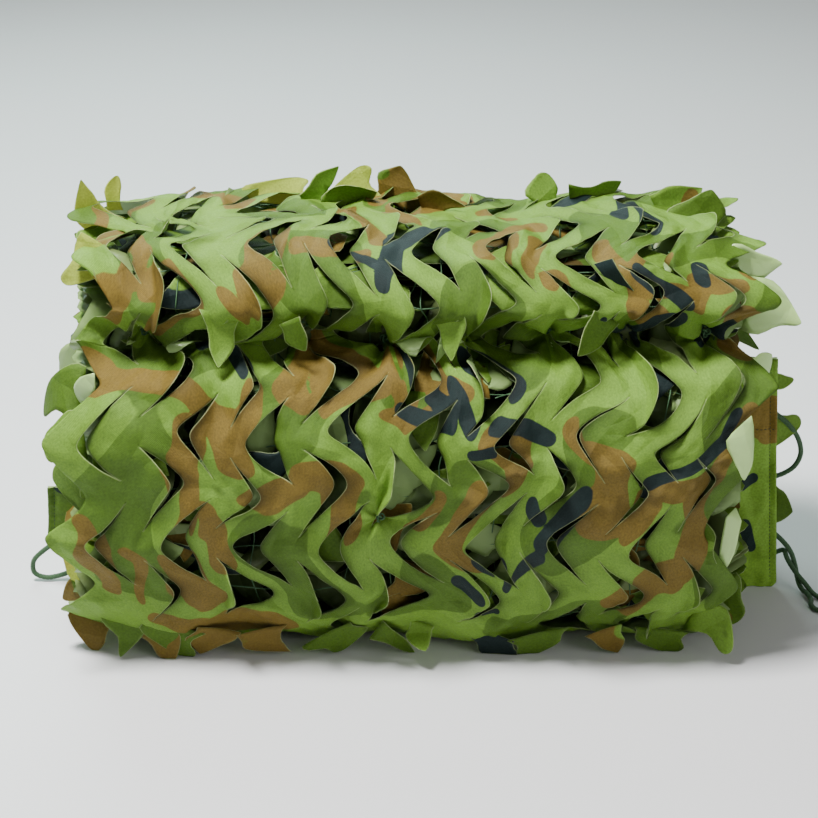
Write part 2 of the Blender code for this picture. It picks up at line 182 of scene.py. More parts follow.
def smooth(keys, values, at):
    """A smooth curve through values at keys: a cubic on each stretch whose end slopes are
    the central differences of the values."""
    slope = np.gradient(values, keys)
    i = np.clip(np.searchsorted(keys, at, side="right") - 1, 0, len(keys) - 2)
    step = keys[i + 1] - keys[i]
    t = (at - keys[i]) / step
    return (
        (2 * t**3 - 3 * t**2 + 1) * values[i]
        + (t**3 - 2 * t**2 + t) * step * slope[i]
        + (3 * t**2 - 2 * t**3) * values[i + 1]
        + (t**3 - t**2) * step * slope[i + 1]
    )


def ease(low, high, at):
    """0 below low, 1 above high and 3t^2 - 2t^3 between them."""
    t = np.clip((at - low) / (high - low), 0, 1)
    return t * t * (3 - 2 * t)


def ripple(u, v, wave, seed):
    """Soft noise from about -1 to 1: a sum of plane waves of about one wavelength, in
    directions and with starts drawn from the seed."""
    chance = np.random.default_rng(seed)
    total = np.zeros(np.broadcast(u, v).shape)
    for _ in range(RIPPLE_WAVES):
        angle = chance.uniform(0, math.pi)
        rate = 2 * math.pi / (wave * chance.uniform(0.7, 1.5))
        start = chance.uniform(0, 2 * math.pi)
        total = total + np.sin(rate * (u * math.cos(angle) + v * math.sin(angle)) + start)
    return total / math.sqrt(RIPPLE_WAVES)


def arc_keys(line):
    """Distance along a line of points to each of them."""
    return np.concatenate(([0.0], np.cumsum(np.linalg.norm(np.diff(line, axis=0), axis=1))))


def read_at(line, at):
    """Places on a line of points at given distances along it."""
    keys = arc_keys(line)
    return np.stack([np.interp(at, keys, column) for column in line.T], -1)


def curve_through(route, count):
    """Points at even steps on the smooth curve through a route in mm."""
    route = np.array(route) * MM
    keys = arc_keys(route)
    at = np.linspace(0, keys[-1], count)
    return np.stack([smooth(keys, column, at) for column in route.T], -1)


def unit(vectors):
    """Vectors of length 1 with the directions of the given ones."""
    return vectors / np.maximum(np.linalg.norm(vectors, axis=-1, keepdims=True), 1e-12)


ROUTE_FINE = 600  # points that a route is first worked out in
ROUTE_STEP = 1.5 * MM


def across_line(dy, dz):
    """Unit normals to steps of dy and dz, a quarter turn from them."""
    size = np.hypot(dy, dz)
    return dz / size, -dy / size


def smooth_route(route):
    """Points at an even spacing on the smooth curve through a route in mm."""
    line = curve_through(route, ROUTE_FINE)
    length = arc_keys(line)[-1]
    return read_at(line, np.linspace(0, length, max(8, round(length / ROUTE_STEP)) + 1))


# ---------------- meshes

def grid_faces(rows, columns):
    """Quads of a grid whose points are numbered row by row."""
    first = (np.arange(rows - 1)[:, None] * columns + np.arange(columns - 1)).ravel()
    return np.stack([first, first + 1, first + columns + 1, first + columns], -1)


def make_object(name, points, faces, materials):
    """A smooth-shaded object at the origin, with its place in its mesh."""
    mesh = bpy.data.meshes.new(name)
    faces = faces if isinstance(faces, list) else faces.tolist()
    mesh.from_pydata(np.asarray(points).tolist(), [], faces)
    for material in materials:
        mesh.materials.append(material)
    mesh.update()
    mesh.shade_smooth()
    made = bpy.data.objects.new(name, mesh)
    bpy.context.scene.collection.objects.link(made)
    return made


def set_values(made, name, values):
    """A number for each point of the mesh, which its material reads by name."""
    layer = made.data.attributes.new(name, "FLOAT", "POINT")
    layer.data.foreach_set("value", np.asarray(values, np.float32))


def set_flat(made, flat):
    """The place of each point on the flat cloth, in metres, as a UV map."""
    corners = np.empty(len(made.data.loops), np.int32)
    made.data.loops.foreach_get("vertex_index", corners)
    layer = made.data.uv_layers.new(name="flat")
    layer.data.foreach_set("uv", np.asarray(flat, np.float32)[corners].ravel())


def thicken(made, thickness, offset):
    """Thickness for a sheet, with its second material on its reverse and its third one on
    its cut edges."""
    wall = made.modifiers.new("cloth", "SOLIDIFY")
    wall.thickness = thickness
    wall.offset = offset
    wall.use_even_offset = False
    wall.material_offset = 1
    wall.material_offset_rim = 2


def settle(made, name_of_slot, *nodes):
    """Ties a finished piece to the body and hides the solids that it stands for. The name of its
    slot is not used.
    """
    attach(made, BODY)
    if nodes:
        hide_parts(*nodes)


# ---------------- shader expressions

def arithmetic(operation):
    """Two methods for one sign: for a value that stands before it, and for one behind it."""
    return (
        lambda self, other: self.tree.math(operation, self, other),
        lambda self, other: self.tree.math(operation, other, self),
    )


class Value:
    """An output of a shader tree, on which arithmetic adds Math nodes."""

    __add__, __radd__ = arithmetic("ADD")
    __sub__, __rsub__ = arithmetic("SUBTRACT")
    __mul__, __rmul__ = arithmetic("MULTIPLY")
    __truediv__, __rtruediv__ = arithmetic("DIVIDE")

    def __init__(self, tree, socket):
        self.tree, self.socket = tree, socket

    def clamp(self):
        return self.tree.node("ShaderNodeClamp", {}, {"Value": self})

    def step(self, soft):
        """0 below zero and 1 above it, over a stretch of the value's own unit."""
        return (self / soft + 0.5).clamp()


class Tree:
    """The node tree of one new material."""

    def __init__(self, name):
        self.material = bpy.data.materials.new(name)
        self.material.use_nodes = True
        self.tree = self.material.node_tree
        self.tree.nodes.clear()

    def node(self, kind, settings, inputs, output=0):
        """Adds a node: its settings first, then a value or a link for each input."""
        made = self.tree.nodes.new(kind)
        for key, value in settings.items():
            setattr(made, key, value)
        for key, value in inputs.items():
            if isinstance(value, Value):
                self.tree.links.new(value.socket, made.inputs[key])
            else:
                made.inputs[key].default_value = value
        return Value(self, made.outputs[output])

    def math(self, operation, *values):
        return self.node("ShaderNodeMath", {"operation": operation}, dict(enumerate(values)))

    def attribute(self, name):
        return self.node("ShaderNodeAttribute", {"attribute_name": name}, {}, "Fac")

    def flat(self):
        return self.node("ShaderNodeUVMap", {"uv_map": "flat"}, {})

    def place(self):
        return self.node("ShaderNodeTexCoord", {}, {}, "Object")

    def component(self, vector, axis):
        return self.node("ShaderNodeSeparateXYZ", {}, {"Vector": vector}, axis)

    def noise(self, vector, scale, detail=2.0):
        inputs = {"Vector": vector, "Scale": scale, "Detail": detail}
        return self.node("ShaderNodeTexNoise", {}, inputs)

    def creases(self, flat):
        """Height in metres of flat facets between straight creases: a sum of triangle waves
        in several directions, each of them coming and going with soft noise."""
        x, y = self.component(flat, 0), self.component(flat, 1)
        total = 0.0
        for number, (angle, wave, slope) in enumerate(CREASES):
            turn = math.radians(angle)
            moved = self.node(
                "ShaderNodeVectorMath", {"operation": "ADD"},
                {0: flat, 1: (0.37 * number, 0.61 * number, 0.0)})
            shown = (self.noise(moved, 17.0, 0.0) * 5.0 - 2.0).clamp()
            along = x * math.cos(turn) + y * math.sin(turn)
            along = along + self.noise(moved, 9.0, 0.0) * CREASE_WANDER
            total = self.math("PINGPONG", along + 3.0, wave / 2) * slope * shown + total
        return total

    def weave(self, flat):
        """Height of a plain weave: the product of sines across and along the cloth, with a
        little noise."""
        x, y = self.component(flat, 0), self.component(flat, 1)
        across = self.math("SINE", x * (2 * math.pi / WEAVE))
        along = self.math("SINE", y * (2 * math.pi / WEAVE))
        return across * along * 0.5 + self.noise(flat, 1100.0)

    def mix(self, factor, a, b, blend="MIX"):
        settings = {"data_type": "RGBA", "blend_type": blend}
        return self.node("ShaderNodeMix", settings, {0: factor, 6: a, 7: b}, 2)

    def toned(self, color, *tones):
        """A colour times numbers, less the painted shade that the mesh holds for each point; below
        zero it is painted light, and on the bands it also holds their pale print.
        """
        tone = 1.0 - self.attribute("deep")
        for other in tones:
            tone = tone * other
        gray = self.node("ShaderNodeCombineColor", {}, {0: tone, 1: tone, 2: tone})
        return self.mix(1.0, color, gray, "MULTIPLY")

    def bump(self, height, distance, strength=1.0, **below):
        """The normal over a height; a bump below it comes as Normal."""
        inputs = {"Height": height, "Distance": distance, "Strength": strength, **below}
        return self.node("ShaderNodeBump", {}, inputs)

    def finished(self, color, roughness, others):
        """The material, once a Principled shader and its output are on the tree."""
        shader = self.node(
            "ShaderNodeBsdfPrincipled", {},
            {"Base Color": color, "Roughness": roughness, **others})
        out = self.tree.nodes.new("ShaderNodeOutputMaterial")
        self.tree.links.new(shader.socket, out.inputs["Surface"])
        return self.material


def rgba(color, tone=1.0):
    return (*(part * tone for part in color), 1.0)


# ---------------- properties

def number_property(name, description, default, **settings):
    return bpy.props.FloatProperty(
        name=name, description=description, default=default, **settings)


def color_property(name, description, default):
    return bpy.props.FloatVectorProperty(
        name=name, description=description, default=default,
        subtype="COLOR", size=3, min=0.0, max=1.0,
    )


def length_property(name, description, default):
    return number_property(
        name, description, default, unit="LENGTH", subtype="DISTANCE", min=0.0, precision=5)


class NettingCloth(bpy.types.PropertyGroup):
    thickness: length_property("Thickness", "Thickness of the cloth", 0.4 * MM)
    light_green: color_property("Light green", "Ground colour of the print", (0.14, 0.262, 0.032))
    mid_green: color_property("Mid green", "Second green of the print", (0.072, 0.142, 0.014))
    brown: color_property("Brown", "Brown of the print", (0.15, 0.101, 0.018))
    slate: color_property("Slate", "Dark slate of the print", (0.01, 0.02, 0.019))
    reverse: color_property("Reverse", "Pale coated side of the cloth", (0.4, 0.6, 0.2))
    cut_edge: color_property("Cut edge", "Fibres along the cuts", (0.5, 0.58, 0.27))
    # Colour of the painted glow that stands in for light shining through the cloth from behind
    thin: color_property("Lit through", "Cloth with the light behind it", (0.42, 0.47, 0.06))
    opening: number_property(
        "Opening", "How wide the slits stand, beside their usual width", 1.0, min=0.0, max=2.0)
    turn: number_property(
        "Turn", "How far the leaves turn out, beside their usual turn", 1.0, min=0.0, max=2.0)


class NettingBorder(bpy.types.PropertyGroup):
    rope_color: color_property("Rope", "Colour of the border rope", (0.022, 0.06, 0.02))
    thread_color: color_property("Thread", "Colour of the stitches", (0.01, 0.025, 0.012))
    mesh_color: color_property("Mesh", "Colour of the support mesh", (0.03, 0.085, 0.03))
    braid_pitch: length_property("Braid pitch", "Length of one braid crossing", 3.2 * MM)
    stitch: length_property("Stitch", "Length of a stitch", 3.4 * MM)
    mesh_cord: length_property("Mesh cord", "Thickness of the support mesh's cord", 1.0 * MM)


class NettingStage(bpy.types.PropertyGroup):
    elevation: number_property(
        "Elevation", "How far the camera looks down", math.radians(27),
        subtype="ANGLE", unit="ROTATION")
    distance: length_property("Distance", "From the camera to the middle of the bundle", 1.5)
    target_height: length_property("Target", "Height that the camera is set on", 0.13)
    lens: number_property("Lens", "Focal length in millimetres", 80.33, min=1.0)
    key_power: number_property("Key light", "Power of the overhead light in watts", 82.0)
    back_power: number_property("Back light", "Power of the light behind, in watts", 42.0)
    fill_power: number_property("Fill light", "Power of the front light in watts", 11.0)
    sky: number_property("Sky", "Strength of the light from all sides", 0.22)
    floor_color: color_property("Floor", "Colour of the floor", (0.72, 0.72, 0.72))


# ---------------- materials

PRINT_SOFT = 0.7  # blur of the print's outlines, in mm
SHOWN_THROUGH_SOFT = 4.0  # the same where the print shows through to the reverse


def cloth_print_material(colors, name="camo_print", gloss=0.14):
    """Printed side: shapes of the print from signed distances, pale cut edges, a fine
    weave, soft crumples, the painted shade that the mesh holds and a painted glow where
    light would shine through from behind."""
    t = Tree(name)
    flat = t.flat()
    wander = t.noise(flat, 60.0, 1.0) * 3.0 - 1.5
    second = (t.attribute("mid_green") + wander).step(PRINT_SOFT)
    brown = (t.attribute("brown") + wander).step(PRINT_SOFT)
    slate = (t.attribute("slate") + wander * 0.5).step(PRINT_SOFT)
    # Painted glow: where light would shine through from behind, the colour is drawn towards the
    # lit-through colour and that colour is also emitted.
    thin, glow = t.attribute("thin"), rgba(colors.thin)
    color = t.mix(second, rgba(colors.light_green), rgba(colors.mid_green))
    color = t.mix(brown, color, rgba(colors.brown))
    color = t.mix(slate, color, rgba(colors.slate))
    color = t.mix(thin, color, glow)
    worn = t.noise(flat, 9.0, 3.0)
    grain = t.noise(flat, 560.0, 3.0)
    # Painted shade from the mesh, times a tone that differs at random and the cloth's grain.
    color = t.toned(color, 0.36 + worn * 0.3 + grain * 0.9)
    cut = (0.5 - t.attribute("edge")).step(0.5)
    color = t.mix(cut * 0.3, color, rgba(colors.cut_edge))
    crumple = t.noise(flat, 55.0, 5.0)
    normal = t.bump(t.creases(flat) + crumple * 0.0017, 1.0)
    return t.finished(color, 0.46 + grain * 0.14, {
        "Normal": t.bump(t.weave(flat), 0.0003, 0.8, Normal=normal),
        "Specular IOR Level": gloss, "Emission Strength": 0.3,
        "Emission Color": t.mix(thin, (0.0, 0.0, 0.0, 1.0), glow)})


def cloth_reverse_material(colors, name="camo_reverse", gloss=0.5, light=1.0):
    """Pale coated reverse, where the print shows through faintly; with light below 1 it is darkened
    all over with painted shade.
    """
    t = Tree(name)
    flat = t.flat()
    brown = t.attribute("brown").step(SHOWN_THROUGH_SOFT)
    slate = t.attribute("slate").step(SHOWN_THROUGH_SOFT)
    color = t.mix(brown * 0.3, rgba(colors.reverse), rgba(colors.brown))
    color = t.mix(slate * 0.4, color, rgba(colors.slate))
    crumple = t.noise(flat, 70.0, 3.0)
    # Painted shade from the mesh, and more of it all over where light is below 1.
    color = t.toned(color, 0.85 + t.noise(flat, 25.0, 3.0) * 0.3, light)
    return t.finished(color, 0.26 + crumple * 0.16, {
        "Normal": t.bump(t.creases(flat) + crumple * 0.001, 1.0),
        "Coat Weight": gloss / 2, "Specular IOR Level": gloss})


def cut_edge_material(colors):
    """Pale fibres along the cuts, frayed in places and clean in others."""
    t = Tree("camo_cut_edge")
    flat = t.flat()
    fray = t.noise(flat, 1200.0)
    frayed = (t.noise(flat, 70.0, 3.0) * 5.0 - 2.1).clamp()
    color = t.mix(fray, rgba(colors.cut_edge), rgba(colors.cut_edge, 0.6))
    color = t.toned(t.mix(frayed, rgba(colors.mid_green), color))
    return t.finished(color, 0.8, {"Normal": t.bump(fray, 0.0002)})


def rope_material(color):
    """Braided rope: each strand's fibres run with it; it is lighter where a strand is raised and
    darker between the strands.
    """
    t = Tree("rope_braid")
    fibre = t.noise(t.flat(), 2600.0)
    tint = t.mix(t.attribute("raised") * 0.8 + fibre * 0.2, rgba(color, 0.45), rgba(color, 1.9))
    return t.finished(tint, 0.62 + fibre * 0.2, {
        "Normal": t.bump(fibre, 0.0002, 0.6), "Sheen Weight": 0.15})


def thread_material(name, color):
    """Twisted thread with fine fibres."""
    t = Tree(name)
    fibre = t.noise(t.place(), 2200.0)
    tint = t.mix(fibre, rgba(color, 0.6), rgba(color, 1.6))
    return t.finished(tint, 0.7, {"Normal": t.bump(fibre, 0.00015, 0.5)})


def floor_material(color):
    """Plain pale floor with the faintest mottling."""
    t = Tree("pale_floor")
    tint = t.mix(t.noise(t.place(), 3.0), rgba(color), rgba(color, 0.985))
    return t.finished(tint, 0.65, {"Specular IOR Level": 0.2})


# ---------------- the cloth's cuts

ROUNDING = 0.91  # of the zigzag's corners: 1 would leave them sharp
LEAF_BEND = 1.8 * MM  # half of the stretch over which a leaf bends out
FACET = 1.3 * MM  # how far the corners of the facets rise and fall
FACET_WIDTH = SLIT_LINE / 2
FACET_LENGTH = WAVE / 4
BEND_SAMPLES = (np.arange(14) + 0.5) / 14


def zigzag(s, rounding=ROUNDING):
    """A rounded zigzag from -1 to 1: the arcsine of a sine that stays short of 1."""
    turn = 2 * math.pi * (s - CUT_START) / WAVE
    return np.arcsin(rounding * np.sin(turn)) / math.asin(rounding)


def flat_across(q, s):
    """Place across the flat cloth of the point at q beside the slit lines: they zigzag."""
    return q + WAVE_RISE * zigzag(s)


def slit_point(line):
    """How far along the cloth the first slit of a line has its point."""
    return CUT_START + (POINT_LEFT if line % 2 else POINT_RIGHT)


def bend_out(reach, turn, curl):
    """How far a leaf's points move in along the cloth and out from it. The leaf is straight
    up to its hinge, bends by turn (radians) round it, and then curls by curl (radians for
    each metre): the shifts are the integrals of cos(angle) - 1 and of sin(angle)."""
    along = np.maximum(reach + LEAF_BEND, 0)
    pull, lift = np.zeros(reach.shape), np.zeros(reach.shape)
    for sample in BEND_SAMPLES:
        at = -LEAF_BEND + along * sample
        angle = turn * ease(-LEAF_BEND, LEAF_BEND, at) + curl * np.maximum(at, 0)
        pull += np.cos(angle) - 1
        lift += np.sin(angle)
    share = along / len(BEND_SAMPLES)
    return pull * share, lift * share


def creased(q, s, seed):
    """Flat facets with straight creases: a height is drawn for each corner of a grid on the
    flat cloth, and each of its cells is two flat triangles. Their diagonal changes from
    cell to cell."""
    u = (q - q.min()) / FACET_WIDTH
    v = (s - CUT_START) / FACET_LENGTH + 4
    i, j = np.floor(u + 1e-6).astype(int), np.floor(v + 1e-6).astype(int)
    a, b = u - i, v - j
    height = np.random.default_rng(seed).normal(0, FACET, (i.max() + 2, j.max() + 2))
    other = (i + j) % 2
    b = np.where(other, 1 - b, b)
    near, far = j + other, j + 1 - other
    low, high = height[i, near], height[i + 1, far]
    left, right = height[i, far], height[i + 1, near]
    return np.where(
        a + b < 1, low + (right - low) * a + (left - low) * b,
        high + (left - high) * (1 - a) + (right - high) * (1 - b),
    )


# How open each slit of the wrap looks, line by line from the left, and from the free edge
# down along each line
SLITS_OPEN = (
    (1.5, 1.2, 1.0, 0.6, 0.7), (0.8, 1.7, 1.2, 0.55, 0.95, 0.6),
    (1.3, 1.0, 1.5, 0.8, 1.7), (0.7, 0.5, 0.7, 0.6, 0.65, 1.6),
    (1.5, 1.3, 0.9, 1.7, 1.6), (0.8, 1.0, 1.3, 1.0, 1.0, 1.5),
    (0.6, 1.2, 1.2, 1.4, 1.5), (0.9, 0.8, 1.4, 1.8, 2.1, 1.7),
    (0.8, 1.2, 0.8, 1.7, 0.9), (0.7, 1.2, 1.2, 1.2, 1.4, 0.9),
    (0.5, 1.2, 1.0, 1.1, 1.8), (0.8, 1.0, 1.3, 1.2, 1.0, 0.5),
    (0.5, 1.5, 1.2, 0.15, 0.8), (0.6, 1.0, 0.8, 1.3, 0.15, 1.1),
    (0.8, 1.4, 1.2, 0.5, 1.1), (0.9, 0.9, 0.7, 0.3, 0.4, 0.9),
)
OPEN_SCALE, OPEN_POWER = 0.72, 1.75  # slits that look nearly shut are shut still further
OPEN_STEPS = 20  # steps of opening between 0 and 1
# Leaves of the wrap that stand out more than chance gives: line, slit and turn
LEAVES_TURNED = (
    (2, 3, 5.5), (4, 3, 3.0), (10, 4, 7.5), (6, 4, 1.8), (16, 2, 6.0), (12, 2, 4.0), (14, 2, 3.5),
    (14, 4, 3.5), (12, 5, 2.5), (8, 5, 2.5), (10, 3, 3.0), (2, 2, 3.0), (6, 2, 2.5), (5, 4, -2.5),
    (7, 4, -3.0), (9, 4, -3.0), (11, 2, -3.5), (13, 3, -3.5), (15, 2, -4.0), (16, 6, 2.5),
    (4, 6, 2.2), (8, 6, 3.0), (12, 6, 3.5), (6, 6, 1.8), (8, 2, 3.0), (1, 2, -3.0),
)


def share_open(look):
    """Share by which a slit stands open, from how open it looks."""
    return round(OPEN_STEPS * (OPEN_SCALE * look**OPEN_POWER)) / OPEN_STEPS


class Cuts:
    """The slits of one cloth, in lines across it. Even lines have > slits and odd lines
    have < slits, and each slit has its own length, leaf and share by which it stands open.
    The leaves are the points of the odd strips."""

    def __init__(self, seed, length, whole_after, open_by_hand=(), turned=()):
        chance = np.random.default_rng(seed)
        self.whole_after, self.seed = whole_after, seed
        size = (LINES + 1, math.ceil(length / WAVE) + 3)
        place = np.meshgrid(np.arange(size[0]) * SLIT_LINE, np.arange(size[1]) * WAVE, indexing="ij")
        slack = 0.1 + 1.5 * ease(-1.1, 1.2, ripple(*place, 0.26, seed))
        self.open = np.minimum(slack * (0.15 + 1.9 * chance.beta(0.9, 1.2, size)), 1.9)
        self.length = chance.uniform(0.92, 1.07, size)
        self.turn = np.clip(chance.standard_t(3, size), -2.2, 2.6)
        for line, values in enumerate(open_by_hand, 1):
            self.open[line, 1 : len(values) + 1] = [share_open(look) for look in values]
        for line, number, value in turned:
            self.turn[line, number] = value
        self.louver = chance.normal(0.9, 0.6, size)
        self.skew = np.clip(chance.normal(0.25, 0.4, size), -1, 1)
        self.curl = chance.normal(0, 1, size)
        self.lean = chance.normal(0, 1, size)
        self.hinge = chance.uniform(0, 1, size)

    def slit(self, line, s):
        """For each row: the place along the nearest slit, from -1 to 1, the slit's number
        in the tables, and whether there is such a slit."""
        number = np.round((s - slit_point(line)) / WAVE).astype(int)
        middle = slit_point(line) + number * WAVE
        number = number + 1
        half = HALF_SLIT * self.length[line, number]
        there = (0 < line < LINES) & (middle + half <= self.whole_after)
        there &= middle > FIRST_SLIT
        return (s - middle) / half, number, there

    def cloth(self, s, quads, usual, turn, turn_spread, facets=1.0):
        """Every strip of the cloth, as arrays of strip, column and row.

        Gives the place across the flat cloth, the shift along X, the lift off the cloth,
        the distance to the nearest cut, the painted shade under the edge that lies over it
        and, for each line and row, whether it is cut."""
        u = np.linspace(0, SLIT_LINE, quads + 1)[:, None]
        swing = zigzag(s)
        across = np.arange(LINES)[:, None, None] * SLIT_LINE + u - LINES * SLIT_LINE / 2 + 0 * s
        aside, lift, shade = (np.zeros_like(across) for _ in range(3))
        edge = np.full(across.shape, SLIT_LINE)
        cut = np.zeros((LINES + 1, len(s)), bool)
        for line in range(LINES + 1):
            along, number, there = self.slit(line, s)
            lean = self.lean[line, number]
            cut[line] = there & (np.abs(along) < 1)
            lens = np.clip(1 - along**2, 0, 1) ** LENS_POWER * cut[line]
            lens = lens * (1 + LENS_SKEW * self.skew[line, number] * along) * LENS_WIDTH
            opened = self.open[line, number]
            wide = (usual * opened + SLIT_LEAST) * lens
            out = TURN_IN if line % 2 else 1
            angle = turn * out * opened + turn_spread * self.turn[line, number]
            angle = angle * (1 + LEAF_LEAN * lean * along)
            angle = np.radians(np.clip(angle, *TURN_LIMITS)) * there
            step = LOUVER * self.louver[line, number] * np.clip(1 - np.abs(along), 0, 1) * there
            bow = (CURL + CURL_SPREAD * self.curl[line, number]) * there
            hinge = HINGE_SHIFT * self.hinge[line, number] + HINGE_SLANT * along * lean
            for strip, side in ((line - 1, 1), (line, -1)):
                if not 0 <= strip < LINES:
                    continue
                away = SLIT_LINE - u if side > 0 else u
                near = 1 - away / SLIT_LINE
                aside[strip] -= side * wide / 2 * near**2
                lift[strip] += side * facets * step * near**LOUVER_POWER
                # Painted shade: the strip is darkened beside the slit, as if in the shadow of the
                # edge that lies over it, more on the lower side than on the upper.
                under = UNDER_SHADE if side * self.louver[line].mean() < 0 else OVER_SHADE
                dark = under * np.exp(-away / SHADE_REACH) * np.sqrt(np.clip(lens, 0, 1))
                shade[strip] = np.maximum(shade[strip], dark)
                near = np.where(cut[line], away * CUT_SLANT, SLIT_LINE)
                edge[strip] = np.minimum(edge[strip], near)
                if strip % 2:
                    reach = WAVE_RISE * (side * swing - SLIT_END) - away - hinge
                    pull, out = bend_out(reach, angle, bow)
                    aside[strip] += side * pull
                    lift[strip] += out
        rows = np.broadcast_to(s, across.shape)
        lift += facets * creased(flat_across(across, rows), rows, self.seed)
        return across, aside, lift, edge, shade, cut


def join_strips(points, cut):
    """One mesh from strips of points (strip, column, row, xyz). Two strips share the points
    of the line between them where that isn't cut. Gives points, faces and, for each point
    of the mesh, its place in the strips."""
    strips, columns, rows, _ = points.shape
    index = np.arange(strips * columns * rows).reshape(strips, columns, rows)
    flat = points.reshape(-1, 3).copy()
    owner = np.arange(len(flat))
    for strip in range(strips - 1):
        whole = ~cut[strip + 1]
        left, right = index[strip, -1, whole], index[strip + 1, 0, whole]
        flat[left] = (flat[left] + flat[right]) / 2
        owner[right] = left
    quads = np.stack(
        [index[:, :-1, :-1], index[:, :-1, 1:], index[:, 1:, 1:], index[:, 1:, :-1]], -1
    ).reshape(-1, 4)
    quads = owner[quads]
    used, inverse = np.unique(quads, return_inverse=True)
    return flat[used], inverse.reshape(-1, 4), used


# ---------------- outer wrap

class Wrap:
    """The outer wrap as a surface of cloth width q and cloth length s."""

    def __init__(self):
        rows = np.array([row[1:] for row in OUTER_WRAP], float)
        self.depth, self.height, self.left, self.right, self.slit = (rows[:, :5] * MM).T
        self.turn, self.turn_spread = rows[:, 5:].T
        self.keys = arc_keys(np.stack([self.depth, self.height], -1))
        self.length = self.keys[-1]
        self.lacing = self.keys[LACING]
        self.last_cut = self.keys[LAST_CUT]

    def at(self, values, s):
        return smooth(self.keys, values, s)

    def normal(self, s):
        """Unit normal of the profile, which points out of the bundle."""
        step = 0.5 * MM
        return across_line(*(
            self.at(side, s + step) - self.at(side, s - step)
            for side in (self.depth, self.height)))

    def fade(self, s):
        return np.clip((self.length - s) / (self.length - self.last_cut), 0, 1)

    def between(self, q, s):
        """Place along X that is as far from the left end to the right one as q is."""
        left, right = self.at(self.left, s), self.at(self.right, s)
        return left + (right - left) * (q / CLOTH_WIDTH + 0.5)

    def across(self, q, s):
        """Place along X at q across the cloth and s along it."""
        drawn = SIDE_DRAW * ease(0, 60 * MM, s - self.lacing) * (1 - (2 * q / CLOTH_WIDTH) ** 4)
        return self.between(q, s) + drawn + WAVE_RISE * self.fade(s) * zigzag(s)

    def swell(self, x, s):
        """Soft swells: products of sines along and across, and the dip of the top."""
        total = sum(
            size * np.sin(2 * math.pi * x / along + start)
            * np.cos(2 * math.pi * s / down + 1.7 * start)
            for size, along, down, start in SWELLS
        )
        place, depth, half_width = SADDLE
        on_top = np.clip(1.5 * (1 - s / self.lacing), 0, 1)
        dip = depth * on_top * np.exp(-(((x - place) / half_width) ** 2))
        return (total - dip) * self.fade(s)

    def place(self, x, s, off):
        """Points at x along the bundle and s along the cloth, off the bundle by off."""
        out_y, out_z = self.normal(s)
        y = self.at(self.depth, s) + out_y * off
        z = self.at(self.height, s) + out_z * off
        return np.stack(np.broadcast_arrays(x, y, np.maximum(z, 0.4 * MM)), -1)


# Ties that draw the wrap in: place along X, and along the cloth from the lacing line, in
# mm, and strength
TIES = (
    (-206, -6, 0.8), (-146, -2, 1.0), (-84, -5, 1.0), (-22, 0, 1.1), (40, -3, 0.9),
    (102, -6, 1.0), (163, -2, 0.8), (223, -4, 1.0), (-26, 150, 0.6),
)


PINCH, PINCH_REACH = 0.55, 25 * MM  # share by which a tie draws the cloth in, and how far off
STAR_HEIGHT, STAR_REACH = 3 * MM, 14 * MM  # of the folds that run out from a tie
TIE_DEPTH, TIE_REACH = 12 * MM, 13 * MM  # of the hollow at a tie


def bell(distance, width):
    """A Gaussian bell: 1 at a distance of zero, 1/e at the width."""
    return np.exp(-((distance / width) ** 2))


def gather(wrap, x, s):
    """Shifts along X and s and the inward pull round the ties: a Gaussian pinch and folds
    that run out from it like a star."""
    shift_x, shift_s, off = np.zeros(x.shape), np.zeros(x.shape), np.zeros(x.shape)
    for number, (tie_x, tie_s, strength) in enumerate(TIES):
        dx = x - tie_x * MM
        ds = s - wrap.lacing - tie_s * MM
        away = np.hypot(dx, ds)
        pinch = strength * PINCH * bell(away, PINCH_REACH)
        shift_x -= dx * pinch
        shift_s -= ds * pinch
        angle = np.arctan2(ds, dx)
        star = np.arcsin(np.cos(5 * angle + 1.9 * number)) + 0.5 * np.cos(3 * angle + number)
        ring = away / STAR_REACH * np.exp(1 - away / STAR_REACH)
        off += strength * (STAR_HEIGHT * star * ring - TIE_DEPTH * bell(away, TIE_REACH))
    return shift_x, shift_s, off


VALLEY_FILL = 16 * MM  # how far the cloth may stand out of the valley of the lacing
VALLEY_REACH = 16 * MM  # and how far above and below the lacing
UNEVEN_ACROSS, UNEVEN_ALONG = 5 * MM, 6.5 * MM  # how far the cuts stray from even rows
TOP_UNEVEN = 0.5  # how much more they do so on the top
WRAP_QUADS = 14  # faces across a strip of the wrap
WRAP_ROW = WAVE / 44


